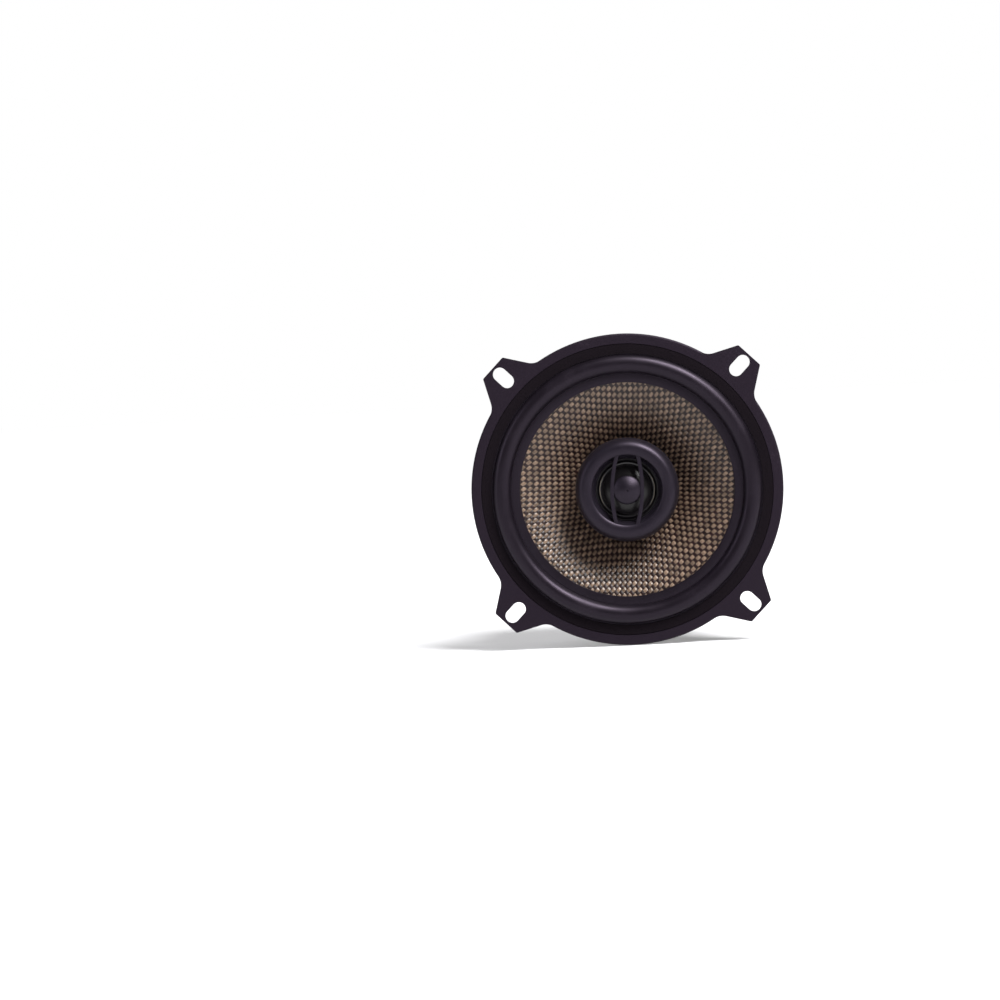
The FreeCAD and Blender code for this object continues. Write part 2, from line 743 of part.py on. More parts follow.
def make_cone():
    """The woven cone: a flat lip behind the surround, then a gentle curve down to the former."""
    return turned_piece("cone", [
        at("cone_lip_radius", f"{LEDGE} + cone_thickness"),
        at("cone_lip_radius", LEDGE),
        at("cone_bend_radius", LEDGE, "cone_bulge"),
        at("former_outer_radius", "cone_neck"),
        at("former_outer_radius", "cone_neck + cone_thickness", "-cone_bulge"),
        at("cone_bend_radius - 0.4 * cone_thickness", f"{LEDGE} + cone_thickness"),
    ])


def make_spider():
    """The corrugated spider, from its rim on the basket's ledge to its collar on the former."""
    half_waves = 8
    pitch = f"(spider_wave_start_radius - spider_wave_end_radius) / {half_waves}"
    wave_radii = [f"spider_wave_start_radius - {count} * {pitch}" for count in range(half_waves + 1)]
    signs = ["-" if count % 2 else "" for count in range(half_waves)]
    rim = "bell_top_radius - bell_wall - spider_rim_clearance"
    front = f"{SPIDER_LEDGE} - spider_thickness"
    face = [at(rim, front)]
    face += [at(radius, front, f"{sign}spider_wave_height") for radius, sign in zip(wave_radii, signs)]
    face += [at(wave_radii[-1], front), at("former_outer_radius", front)]
    back = [at("former_outer_radius", SPIDER_LEDGE)]
    back += [
        at(radius, SPIDER_LEDGE, f"-({sign}spider_wave_height)")
        for radius, sign in zip(reversed(wave_radii[1:]), reversed(signs))
    ]
    back += [at(wave_radii[0], SPIDER_LEDGE), at(rim, SPIDER_LEDGE)]
    return turned_piece("spider", face + back)


def make_voice_coil():
    """The former that runs from the cone's neck into the gap, and the winding round its rear end."""
    winding_front = f"{GAP_MIDDLE} - winding_length / 2"
    winding_rear = f"{GAP_MIDDLE} + winding_length / 2"
    ring("voice_coil_former", FORMER_INNER, "former_outer_radius", "cone_neck", "former_rear")
    ring("voice_coil_winding", "former_outer_radius", WINDING_OUTER, winding_front, winding_rear)


def make_neck_pieces():
    """The glue ring behind the cone's neck and the felt ring that keeps dust out of the gap."""
    ring_front = "cone_neck + cone_thickness"
    turned_piece("neck_ring", [
        at("former_outer_radius", ring_front),
        at("neck_ring_radius", ring_front),
        at("neck_ring_radius", f"{ring_front} + neck_ring_length / 2"),
        at(f"former_outer_radius + 0.5", f"{ring_front} + neck_ring_length"),
        at("former_outer_radius", f"{ring_front} + neck_ring_length"),
    ])
    seal_inner = "post_radius + dust_seal_clearance"
    ring("dust_seal", seal_inner, FORMER_INNER, "cone_neck", "cone_neck + dust_seal_thickness")


# ---------------------------------------------------------------------------------------------------------
# Motor
# ---------------------------------------------------------------------------------------------------------


def make_top_plate():
    """The steel plate that forms the outside of the gap, riveted to the basket."""
    body = ring("top_plate", GAP_OUTER, "top_plate_radius", "plate_rear", MAGNET_FRONT)
    drill_rivet_holes(body, "plate_rear", "top_plate_thickness")
    return body


def make_plate_rivets():
    """Four rivets, each a head inside the basket and a shank through both plates."""
    body = new_body("plate_rivets")
    body.AllowCompound = True
    head = new_sketch(body, "rivet_head_sketch", "XZ_Plane", f"-{PLATE_INSIDE}", 45)
    draw_circle(head, "rivet_circle_radius", "0", "rivet_head_radius")
    around(body, "rivet_heads", pad(body, "rivet_head", head, "rivet_head_height"), 4)
    shank = new_sketch(body, "rivet_shank_sketch", "XZ_Plane", f"-{MAGNET_FRONT}", 45)
    draw_circle(shank, "rivet_circle_radius", "0", "rivet_radius")
    length = "top_plate_thickness + rear_plate_thickness"
    around(body, "rivet_shanks", pad(body, "rivet_shank", shank, length), 4)


def make_magnet():
    """The ferrite ring magnet."""
    ring("ferrite_magnet", "magnet_hole_radius", "magnet_radius", MAGNET_FRONT, MAGNET_REAR, "magnet_chamfer")


def make_yoke():
    """The steel yoke: rear plate and pole in one, bored for the post, with a groove for the tweeter's lead."""
    body = new_body("yoke")
    turn_outline(body, "yoke_turn", [
        at("pole_bore_radius", POLE_FACE),
        at("pole_radius", POLE_FACE),
        at("pole_radius", MAGNET_REAR),
        at("top_plate_radius", MAGNET_REAR),
        at("top_plate_radius", YOKE_REAR),
        at("nut_pocket_radius", YOKE_REAR),
        at("nut_pocket_radius", MAGNET_REAR),
        at("pole_bore_radius", MAGNET_REAR),
    ])
    groove = new_sketch(body, "lead_groove_sketch", "XY_Plane")
    front = f"{LEAD_TRACK} - lead_radius"
    draw(groove, [
        at("0", front),
        at("top_plate_radius + 1", front),
        at("top_plate_radius + 1", f"{YOKE_REAR} + 1"),
        at("0", f"{YOKE_REAR} + 1"),
    ])
    pocket(body, "lead_groove", groove, "2 * lead_channel_half_width", both_sides=True)
    return body


def make_boot():
    """The rubber boot round the magnet: a plain sleeve with four raised lugs that hook over the cap's edge."""
    body = new_body("rubber_boot")
    foot = "plate_rear"
    turn_outline(body, "boot_sleeve", [
        at(BOOT_INNER, foot),
        at(f"{BOOT_OUTER} - 0.6", foot),
        at(BOOT_OUTER, f"{foot} + 0.8"),
        at(BOOT_OUTER, f"{BOOT_RIM} - 0.7", "-0.2"),
        at(f"{BOOT_OUTER} - 0.7", BOOT_RIM),
        at(BOOT_INNER, BOOT_RIM),
    ])
    reach = f"{BOOT_OUTER} + boot_lug_rise"
    crest = f"{YOKE_REAR} + boot_lug_height"
    inner_edge = "magnet_radius - boot_lug_overlap"
    lug = turn_outline(body, "boot_lug", [
        at(f"{BOOT_INNER} + 1", f"{foot} + 0.6"),
        at(f"{BOOT_OUTER} - 0.2", f"{foot} + 0.6"),
        at(reach, f"{foot} + boot_lug_foot", "-0.15"),
        at(reach, f"{crest} - boot_lug_bevel", "-0.25"),
        at(f"{inner_edge} + 1.2", crest, "-0.1"),
        at(inner_edge, f"{crest} - 0.3"),
        at(inner_edge, BOOT_LUG_UNDERSIDE),
        at(BOOT_INNER, BOOT_LUG_UNDERSIDE),
        at(BOOT_INNER, f"{BOOT_RIM} - 1"),
        at(f"{BOOT_INNER} + 1", f"{BOOT_RIM} - 1"),
    ], "boot_lug_angle")
    around(body, "boot_lugs", lug, 4)
    channel = new_sketch(body, "boot_channel_sketch", "XY_Plane")
    inside = f"{BOOT_INNER} - 1"
    outside = f"{reach} + 1"
    notch_rear = f"{foot} + 7 * lead_radius"
    draw(channel, [
        at(inside, f"{foot} - 1"),
        at(outside, f"{foot} - 1"),
        at(outside, notch_rear),
        at(LEAD_CHANNEL, notch_rear),
        at(LEAD_CHANNEL, BOOT_LUG_UNDERSIDE),
        at(inside, BOOT_LUG_UNDERSIDE),
    ])
    pocket(body, "boot_channel", channel, "2 * lead_channel_half_width", both_sides=True)
    return body


def make_rear_cap():
    """The spun aluminium cap over the yoke, with a low rim round its edge."""
    rim_rear = f"{CAP_REAR} + cap_rim_height"
    rim_inner = "magnet_radius - cap_rim_width"
    turned_piece("rear_cap", [
        at("0", YOKE_REAR),
        at("magnet_radius", YOKE_REAR),
        at("magnet_radius", f"{rim_rear} - cap_chamfer"),
        at("magnet_radius - cap_chamfer", rim_rear),
        at(rim_inner, rim_rear),
        at(f"{rim_inner} - cap_rim_height", CAP_REAR),
        at("0", CAP_REAR),
    ])


# ---------------------------------------------------------------------------------------------------------
# Tweeter
# ---------------------------------------------------------------------------------------------------------


def make_bezel():
    """The rounded ring round the tweeter's opening, hollow behind to take the housing's rim."""
    seat = "bezel_radius - bezel_skirt_wall"
    throat_front = f"{DOME_RIM} - dome_thickness - 0.2"
    return turned_piece("tweeter_bezel", [
        at("bezel_opening_radius", "bezel_lip", "bezel_inner_bulge"),
        at("bezel_crest_radius", "bezel_crest", "bezel_outer_bulge"),
        at("bezel_radius", "housing_front"),
        at("bezel_radius", "housing_front + bezel_skirt"),
        at(seat, "housing_front + bezel_skirt"),
        at(seat, "housing_front"),
        at("bezel_throat_radius", "housing_front"),
        at("bezel_throat_radius", throat_front),
        at("dome_roll_outer_radius + 0.2", throat_front, "-0.3"),
    ])


def make_guard(bezel):
    """The guard: a domed plug in front of the dome, held by two bowed bars that end in the bezel's lip."""
    body = new_body("guard_blank")
    front = "guard_rear - guard_depth"
    face = f"{front} - plug_dome"
    turn_outline(body, "plug", [
        at("0", "guard_rear"),
        at("plug_radius", "guard_rear"),
        at("plug_radius", "guard_rear - plug_edge", "0.8 * plug_dome"),
        at("plug_dot_radius", face),
        at("plug_dot_radius", f"{face} + plug_dot_depth"),
        at("0", f"{face} + plug_dot_depth"),
    ])
    outer = "guard_bar_end_offset + guard_bar_width / 2"
    inner = "guard_bar_end_offset - guard_bar_width / 2"
    bar = new_sketch(body, "bar_sketch", "XZ_Plane", "-guard_rear", -value("guard_turn"))
    draw(bar, [
        at(outer, "guard_bar_half_length", "guard_bar_bow"),
        at(outer, "-guard_bar_half_length"),
        at(inner, "-guard_bar_half_length", "-guard_bar_bow"),
        at(inner, "guard_bar_half_length"),
    ])
    around(body, "bars", pad(body, "bar", bar, "guard_depth"), 2)
    return without("tweeter_guard", body, bezel)


def make_tweeter_motor():
    """The tweeter's steel cup, neodymium disc and pole disc, and the spacer that lifts its surround."""
    turned_piece("tweeter_yoke", [
        at("0", TWEETER_MAGNET_REAR),
        at("tweeter_gap_outer_radius", TWEETER_MAGNET_REAR),
        at("tweeter_gap_outer_radius", "tweeter_pole_face"),
        at("tweeter_yoke_radius", "tweeter_pole_face"),
        at("tweeter_yoke_radius", TWEETER_YOKE_REAR),
        at("0", TWEETER_YOKE_REAR),
    ])
    ring("tweeter_magnet", "0", "tweeter_magnet_radius", TWEETER_POLE_REAR, TWEETER_MAGNET_REAR)
    ring("tweeter_pole_disc", "0", "tweeter_pole_radius", "tweeter_pole_face", TWEETER_POLE_REAR)
    ring("tweeter_spacer", "spacer_inner_radius", "tweeter_yoke_radius", DOME_RIM, "tweeter_pole_face")


def make_dome():
    """The domed diaphragm, its coil and the small half-roll surround that carries it."""
    rim_front = f"{DOME_RIM} - dome_thickness"
    turned_piece("tweeter_dome", [
        at("0", f"{rim_front} - dome_height"),
        at("0", f"{DOME_RIM} - dome_height"),
        at("dome_crown_radius", f"{DOME_RIM} - dome_height", "dome_height * 0.25"),
        at("tweeter_coil_radius - 2 * dome_thickness", DOME_RIM),
        at("tweeter_coil_radius", DOME_RIM),
        at("tweeter_coil_radius", rim_front, "-dome_height * 0.25"),
        at("dome_crown_radius", f"{rim_front} - dome_height"),
    ])
    coil_rear = f"{DOME_RIM} + tweeter_coil_length"
    ring("tweeter_coil", "tweeter_coil_inner_radius", "tweeter_coil_radius", DOME_RIM, coil_rear)
    roll_start = "tweeter_coil_radius"
    rim_edge = "tweeter_yoke_radius - 0.05"
    turned_piece("tweeter_surround", [
        at(rim_edge, DOME_RIM),
        at(rim_edge, rim_front),
        at("dome_roll_outer_radius", rim_front, "dome_roll_height"),
        at(roll_start, rim_front),
        at(roll_start, DOME_RIM, "-dome_roll_height"),
        at("dome_roll_outer_radius", DOME_RIM),
    ])


def make_housing():
    """The tapered cup that holds the tweeter's motor, with a hole in its floor for the post's stud."""
    outer = "bezel_radius - bezel_skirt_wall"
    return turned_piece("tweeter_housing", [
        at("tweeter_yoke_radius", "housing_front"),
        at(outer, "housing_front"),
        at(outer, "housing_front + bezel_skirt"),
        at("tweeter_yoke_radius", f"{HOUSING_REAR} - 0.6"),
        at("tweeter_yoke_radius - 1", HOUSING_REAR),
        at("post_stud_radius", HOUSING_REAR),
        at("post_stud_radius", TWEETER_YOKE_REAR),
        at("tweeter_yoke_radius", TWEETER_YOKE_REAR),
    ])


def make_post():
    """The hollow post that carries the tweeter: a stud in front, a pillar, and a stem through the pole."""
    turned_piece("tweeter_post", [
        at("post_bore_radius", f"{HOUSING_REAR} - post_stud_length"),
        at("post_stud_radius", f"{HOUSING_REAR} - post_stud_length"),
        at("post_stud_radius", HOUSING_REAR),
        at("post_radius", HOUSING_REAR),
        at("post_radius", POLE_FACE),
        at("pole_bore_radius", POLE_FACE),
        at("pole_bore_radius", POST_END),
        at("post_bore_radius", POST_END),
    ])
    body = new_body("post_nut")
    sketch = new_sketch(body, "nut_sketch", "XZ_Plane", f"-{POST_END}")
    corner_radius = "(nut_across_flats / sqrt(3))"
    corners = []
    for count in range(6):
        angle = math.radians(60 * count + 30)
        corners.append(at(f"{math.cos(angle):.6f} * {corner_radius}", f"{math.sin(angle):.6f} * {corner_radius}"))
    draw(sketch, corners)
    draw_circle(sketch, "0", "0", "pole_bore_radius")
    pad(body, "nut", sketch, "nut_thickness")


# ---------------------------------------------------------------------------------------------------------
# Terminals and leads
# ---------------------------------------------------------------------------------------------------------


def make_spade(name, width, offset, side):
    """A spade terminal: a blade pointing to the rear and a leg through the window, at one side of the lug."""
    body = new_body(name)
    sketch = new_sketch(body, name + "_sketch", "XY_Plane", f"{side}{offset}")
    inner = "spade_reach - spade_thickness"
    draw(sketch, [
        at("spade_leg_inner", "spade_leg"),
        at("spade_reach", "spade_leg"),
        at("spade_reach", "spade_end"),
        at(inner, "spade_end"),
        at(inner, "spade_leg + spade_thickness"),
        at("spade_leg_inner", "spade_leg + spade_thickness"),
    ])
    pad(body, name + "_strip", sketch, width, both_sides=True)
    return body


def make_terminal_block(basket, spades):
    """The moulded block on the outside of the bell, cut to fit the bell and the terminals."""
    body = new_body("block_blank")
    sketch = new_sketch(body, "block_sketch", "XY_Plane")
    draw(sketch, [
        at("block_seat_front_radius", "block_front"),
        at("block_reach", "block_front", rounding="block_corner"),
        at("block_reach", "block_rear", rounding="block_corner"),
        at("block_seat_rear_radius", "block_rear"),
    ])
    pad(body, "block", sketch, "2 * block_half_width", both_sides=True)
    block = without("block_on_bell", body, basket)
    for spade in spades:
        block = without(f"block_round_{spade.Label}", block, spade)
    rivet = make_terminal_rivet(basket)
    return without("terminal_block", block, rivet)


def make_terminal_rivet(basket):
    """The rivet that clamps the block to the lug, from its head outside to its head inside the bell."""
    head = "clamp_rivet_head_radius"
    head_height = "clamp_rivet_head_height"
    inside = "(clamp_rivet_foot - clamp_rivet_tail)"
    along = "clamp_rivet_along"
    body = new_body("rivet_blank")
    sketch = new_sketch(body, "clamp_rivet_sketch", "YZ_Plane", inside)
    draw_circle(sketch, along, "0", "clamp_rivet_radius")
    pad(body, "clamp_rivet_shank", sketch, f"block_reach - {inside}")
    head_sketch = new_sketch(body, "clamp_rivet_head_sketch", "YZ_Plane", "block_reach")
    draw_circle(head_sketch, along, "0", head)
    pad(body, "clamp_rivet_head", head_sketch, head_height)
    foot_sketch = new_sketch(body, "clamp_rivet_foot_sketch", "YZ_Plane", "clamp_rivet_foot")
    draw_circle(foot_sketch, along, "0", head)
    pad(body, "clamp_rivet_foot", foot_sketch, "bell_wall + 0.6")
    return without("terminal_rivet", body, basket)


def make_capacitor():
    """The crossover capacitor between the terminals, with one lead to each."""
    along = "block_rear + capacitor_radius"
    length = value("capacitor_length")
    start = place("capacitor_offset", along, "-capacitor_length / 2")
    shape = Part.makeCylinder(value("capacitor_radius"), length, start, Vector(0, 0, 1))
    inner_face = "spade_reach - spade_thickness"
    for side in ("", "-"):
        lead = bent_wire([
            place("capacitor_offset", along, f"{side}(capacitor_length / 2 - 0.5)"),
            place("capacitor_offset", along, f"{side}negative_spade_offset"),
            place(inner_face, along, f"{side}negative_spade_offset"),
        ], value("capacitor_lead_radius"), value("2 * capacitor_lead_radius"))
        shape = shape.fuse(lead)
    shape_piece("crossover_capacitor", shape.removeSplitter())


def make_tweeter_lead():
    """The tweeter's lead: down the hollow post, across the yoke's groove and out under the boot."""
    channel = f"{BOOT_INNER} + lead_radius + 0.5 * boot_clearance"
    exit_along = "plate_rear + 3 * lead_radius"
    points = [
        place("0", f"{HOUSING_REAR} - post_stud_length + 0.1"),
        place("0", LEAD_TRACK),
        place(channel, LEAD_TRACK),
        place(channel, exit_along),
        place("capacitor_offset", exit_along),
        place("capacitor_offset", "block_rear + 2 * capacitor_radius"),
    ]
    shape_piece("tweeter_lead", bent_wire(points, value("lead_radius"), value("lead_bend")))


def make_tinsel_lead(name, offset, side):
    """A flexible lead that hangs in two loops between a terminal's leg and the voice coil former."""
    leg = "spade_leg + spade_thickness / 2"
    former = f"former_outer_radius + 0.1"
    run = f"(spade_leg_inner - {former})"
    points = [
        place("spade_leg_inner - 0.6 * tinsel_radius", leg, f"{side}{offset}"),
        place(f"{former} + 0.78 * {run}", f"{leg} + 3.6", f"{side}0.9 * {offset}"),
        place(f"{former} + 0.49 * {run}", f"{leg} + 1.6", f"{side}0.72 * {offset}"),
        place(f"{former} + 0.23 * {run}", f"{leg} + 5.4", f"{side}0.5 * {offset}"),
        place(former, "tinsel_end", f"{side}0.32 * {offset}"),
    ]
    shape_piece(name, bent_wire(points, value("tinsel_radius")))


# ---------------------------------------------------------------------------------------------------------
# The whole speaker
# ---------------------------------------------------------------------------------------------------------


def check_everything():
    """Stop if a feature failed, a cut removed nothing or a piece has no valid solid."""
    for item in document.Objects:
        if any(word in state for state in item.State for word in ("Invalid", "Error")):
            raise RuntimeError(f"{item.Label} failed: {item.State}")
        if item.TypeId == "PartDesign::Pocket" and item.Shape.Volume >= item.BaseFeature.Shape.Volume - 0.01:
            raise RuntimeError(f"{item.Label} cuts nothing")
    for piece in pieces:
        if piece.Shape.isNull() or not piece.Shape.isValid() or not piece.Shape.Solids:
            raise RuntimeError(f"{piece.Label} has no valid solid")


def write_pieces():
    """Write each piece to a file of its own name."""
    os.makedirs("parts", exist_ok=True)
    for piece in pieces:
        piece.Shape.exportStep(f"parts/{piece.Label}.step")
        print(f"{piece.Label:22s} {len(piece.Shape.Solids)} solid(s) {piece.Shape.Volume:10.1f} mm3")


def main():
    """Build every piece, check it and write it."""
    fill_sheet()
    basket = make_basket()
    make_surround()
    make_gasket()
    make_cone()
    make_spider()
    make_voice_coil()
    make_neck_pieces()
    make_top_plate()
    make_plate_rivets()
    make_magnet()
    make_yoke()
    make_boot()
    make_rear_cap()
    make_guard(make_bezel())
    make_tweeter_motor()
    make_dome()
    make_housing()
    make_post()
    positive = make_spade("positive_terminal", "positive_spade_width", "positive_spade_offset", "")
    negative = make_spade("negative_terminal", "negative_spade_width", "negative_spade_offset", "-")
    make_terminal_block(basket, (positive, negative))
    make_capacitor()
    make_tweeter_lead()
    make_tinsel_lead("positive_tinsel_lead", "positive_spade_offset", "")
    make_tinsel_lead("negative_tinsel_lead", "negative_spade_offset", "-")
    document.recompute()
    check_everything()
    write_pieces()


main()
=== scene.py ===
"""Looks of a coaxial car speaker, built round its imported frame.

The speaker faces -Y with its magnet towards +Y and +Z up. Shapes are worked out in millimetres, as arrays of
points, and turned into metres when they become a mesh. "Across" is the distance from the speaker's axis and
"along" is the position on the Y axis.
"""

import logging
import math
from abc import ABC, abstractmethod
from dataclasses import dataclass, field
from enum import Enum
from typing import Any, Optional, Sequence, Union

import bmesh
import bpy
import numpy as np
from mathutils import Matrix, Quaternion, Vector

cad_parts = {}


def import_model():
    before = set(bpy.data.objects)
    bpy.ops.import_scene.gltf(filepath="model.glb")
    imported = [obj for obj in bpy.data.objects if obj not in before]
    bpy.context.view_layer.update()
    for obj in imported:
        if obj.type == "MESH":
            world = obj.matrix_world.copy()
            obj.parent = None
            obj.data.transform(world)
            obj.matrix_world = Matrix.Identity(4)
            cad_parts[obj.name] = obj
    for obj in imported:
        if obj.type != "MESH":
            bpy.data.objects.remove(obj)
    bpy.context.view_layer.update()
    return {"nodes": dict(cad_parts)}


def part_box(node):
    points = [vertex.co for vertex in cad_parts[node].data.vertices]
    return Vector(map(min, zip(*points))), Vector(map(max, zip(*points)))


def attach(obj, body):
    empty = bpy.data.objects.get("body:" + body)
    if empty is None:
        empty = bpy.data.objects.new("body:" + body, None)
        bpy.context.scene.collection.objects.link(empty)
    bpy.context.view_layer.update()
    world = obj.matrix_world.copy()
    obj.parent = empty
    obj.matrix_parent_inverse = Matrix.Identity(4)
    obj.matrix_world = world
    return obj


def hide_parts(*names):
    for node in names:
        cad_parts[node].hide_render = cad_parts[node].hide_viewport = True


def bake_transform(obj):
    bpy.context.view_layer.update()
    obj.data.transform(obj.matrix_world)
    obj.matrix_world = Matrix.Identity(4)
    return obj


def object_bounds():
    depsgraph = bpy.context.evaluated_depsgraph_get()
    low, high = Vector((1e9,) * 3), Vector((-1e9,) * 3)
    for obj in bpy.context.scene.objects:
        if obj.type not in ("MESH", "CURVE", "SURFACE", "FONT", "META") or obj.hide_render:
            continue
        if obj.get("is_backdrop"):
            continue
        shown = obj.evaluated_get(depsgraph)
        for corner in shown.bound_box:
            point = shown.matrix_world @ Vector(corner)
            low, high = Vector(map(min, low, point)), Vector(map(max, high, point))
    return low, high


LOG = logging.getLogger("speaker")
METRE = 0.001
# How far the speaker has rolled over as it stands, in degrees. Its cloth and its guard stay upright.
ROLL = 3.0
# The tint of the highlights on black rubber, plastic and powder coat.
COOL = (0.93, 0.76, 1.0)
WHITE = (1.0, 1.0, 1.0)
Object = bpy.types.Object
Material = bpy.types.Material
Socket = bpy.types.NodeSocket
Colour = tuple[float, float, float]
Signal = Union[float, Colour, Sequence[float], Socket]


class Body(Enum):
    """The bodies that pieces ride on."""

    FRAME = "frame"
    WOOFER = "woofer_cone"
    TWEETER = "tweeter_diaphragm"


# ---------------------------------------------------------------------------------------------------------
# Surfaces
# ---------------------------------------------------------------------------------------------------------


def surface(name: str, points: np.ndarray, crease: float = 38.0) -> Object:
    """Make a closed piece from a grid of points that wraps round both ways.

    Neighbouring points become quads, each point (i, j) with (i + 1, j), (i + 1, j + 1) and (i, j + 1).
    Points that coincide, at a pole or a cap, are merged, and a shell that came out inside out is turned.

    Args:
        name: The piece's name.
        points: Points of shape (rows, columns, 3), in millimetres.
        crease: The angle in degrees past which an edge stays sharp.

    Returns:
        The new object, at the origin.
    """
    rows, columns = points.shape[:2]
    index = np.arange(rows * columns).reshape(rows, columns)
    quads = np.stack([
        index,
        np.roll(index, -1, axis=0),
        np.roll(np.roll(index, -1, axis=0), -1, axis=1),
        np.roll(index, -1, axis=1),
    ], axis=-1).reshape(-1, 4)
    vertices = points.reshape(-1, 3) * METRE
    first, second, third, fourth = (vertices[quads[:, corner]] for corner in range(4))
    volume = np.einsum("ij,ij->", np.cross(first, second), third)
    volume += np.einsum("ij,ij->", np.cross(first, third), fourth)
    if volume < 0:
        quads = quads[:, ::-1]
    mesh = bpy.data.meshes.new(name)
    mesh.from_pydata(vertices.tolist(), [], quads.tolist())
    return finished(name, mesh, crease)


def finished(name: str, mesh: bpy.types.Mesh, crease: float) -> Object:
    """Merge a mesh's doubled points, smooth it up to an angle and put it in the scene.

    Args:
        name: The piece's name.
        mesh: The mesh, in metres.
        crease: The angle in degrees past which an edge stays sharp.

    Returns:
        The new object, at the origin.
    """
    merge_distance = 1e-6
    build = bmesh.new()
    build.from_mesh(mesh)
    bmesh.ops.remove_doubles(build, verts=build.verts, dist=merge_distance)
    build.to_mesh(mesh)
    build.free()
    mesh.shade_smooth()
    mesh.set_sharp_from_angle(angle=math.radians(crease))
    return in_scene(name, mesh)


def in_scene(name: str, data: bpy.types.ID) -> Object:
    """Put a new object in the scene.

    Args:
        name: The object's name.
        data: Its mesh, light or camera.

    Returns:
        The object, at the origin.
    """
    made = bpy.data.objects.new(name, data)
    bpy.context.scene.collection.objects.link(made)
    return made


def rounded(corners: Sequence[Sequence[float]], steps: int = 6) -> np.ndarray:
    """Round the corners of a closed outline.

    Each corner C is replaced by the parabola (1-t)^2 S + 2t(1-t) C + t^2 E, whose ends S and E lie on the
    corner's two sides, at the corner's own reach or at 0.48 of the shorter side, whichever is less.

    Args:
        corners: One (across, along, reach) for each corner, in millimetres.
        steps: How many points each corner becomes.

    Returns:
        Points of shape (corners * steps, 2).
    """
    table = np.asarray(corners, dtype=float)
    here, reach = table[:, :2], table[:, 2]
    before, after = np.roll(here, 1, axis=0) - here, np.roll(here, -1, axis=0) - here
    before_length = np.linalg.norm(before, axis=1)
    after_length = np.linalg.norm(after, axis=1)
    reach = np.minimum(reach, 0.48 * np.minimum(before_length, after_length))
    start = here + before / before_length[:, None] * reach[:, None]
    end = here + after / after_length[:, None] * reach[:, None]
    share = np.linspace(0.0, 1.0, steps)[None, :, None]
    curve = (1 - share) ** 2 * start[:, None] + share**2 * end[:, None]
    curve += 2 * share * (1 - share) * here[:, None]
    return curve.reshape(-1, 2)


def bow(start: Sequence[float], end: Sequence[float], height: float, count: int) -> np.ndarray:
    """Sample the arc from one point of an outline to another.

    A point at share t of the chord stands height * (1 - (2t - 1)^2) off it, to the left of the way there.

    Args:
        start: Where the arc starts, as (across, along).
        end: Where it ends.
        height: How far its middle stands off the chord.
        count: How many points to give, both ends included.

    Returns:
        Points of shape (count, 2).
    """
    first, last = np.asarray(start, dtype=float), np.asarray(end, dtype=float)
    chord = last - first
    sideways = np.array([-chord[1], chord[0]]) / np.linalg.norm(chord)
    share = np.linspace(0.0, 1.0, count)[:, None]
    return first + chord * share + sideways * height * (1 - (2 * share - 1) ** 2)


def leaned(sideways: np.ndarray, upwards: np.ndarray, degrees: float) -> tuple[np.ndarray, np.ndarray]:
    """Turn points about the speaker's axis, from +X towards +Z.

    Args:
        sideways: X positions.
        upwards: Z positions.
        degrees: How far to turn them.

    Returns:
        The new X and Z positions, x cos - z sin and x sin + z cos.
    """
    cosine, sine = math.cos(math.radians(degrees)), math.sin(math.radians(degrees))
    return sideways * cosine - upwards * sine, sideways * sine + upwards * cosine


def full_turn(segments: int) -> np.ndarray:
    """Give the angles of one full turn as a column, in radians."""
    return np.linspace(0.0, 2 * math.pi, segments, endpoint=False)[:, None]


def around(across: np.ndarray, along: np.ndarray, angle: np.ndarray) -> np.ndarray:
    """Give the points (across cos a, along, across sin a) about the speaker's axis."""
    return np.stack(np.broadcast_arrays(across * np.cos(angle), along, across * np.sin(angle)), axis=-1)


def turned(name: str, outline: np.ndarray, segments: int = 192, crease: float = 38.0) -> Object:
    """Turn a closed outline about the speaker's axis, each point (across, along) to one at every angle.

    Args:
        name: The piece's name.
        outline: Points of shape (count, 2), as (across, along) in millimetres.
        segments: How many steps the full turn has.
        crease: The angle in degrees past which an edge stays sharp.

    Returns:
        The new object.
    """
    return surface(name, around(outline[:, 0], outline[:, 1], full_turn(segments)), crease)


def swept(name: str, path: np.ndarray, section: np.ndarray, sideways: Vector) -> Object:
    """Carry a closed section along a path and close both ends.

    Each path point p has a direction d from its neighbours, a side vector s square to d and near sideways,
    and a third vector s x d. A section point (a, b) lands at p + a s + b (s x d). The ends shrink to p.

    Args:
        name: The piece's name.
        path: Points of shape (count, 3), in millimetres.
        section: Points of shape (count, 2), in millimetres.
        sideways: The direction that the section's first axis keeps near.

    Returns:
        The new object.
    """
    direction = np.gradient(path, axis=0)
    direction /= np.linalg.norm(direction, axis=1, keepdims=True)
    side = np.asarray(sideways) - direction * (direction @ np.asarray(sideways))[:, None]
    side /= np.linalg.norm(side, axis=1, keepdims=True)
    third = np.cross(side, direction)
    tube = path[:, None] + section[None, :, :1] * side[:, None] + section[None, :, 1:] * third[:, None]
    caps = [np.repeat(path[end][None, None], section.shape[0], axis=1) for end in (0, -1)]
    return surface(name, np.concatenate([caps[0], tube, caps[1]]))


def copy_of(node: str, name: str, crease: float = 38.0) -> Object:
    """Copy a CAD node's mesh into a new piece, with its loose triangles joined.

    Args:
        node: The CAD node.
        name: The new piece's name.
        crease: The angle in degrees past which an edge stays sharp.

    Returns:
        The new object.
    """
    return finished(name, bpy.data.objects[node].data.copy(), crease)


def follow_both(piece: Object) -> None:
    """Bake a ring's place into its mesh and read its points.

    Args:
        piece: The ring.
    """
    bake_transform(piece)
    places = np.zeros(len(piece.data.vertices) * 3, dtype=np.float32)
    piece.data.vertices.foreach_get("co", places)


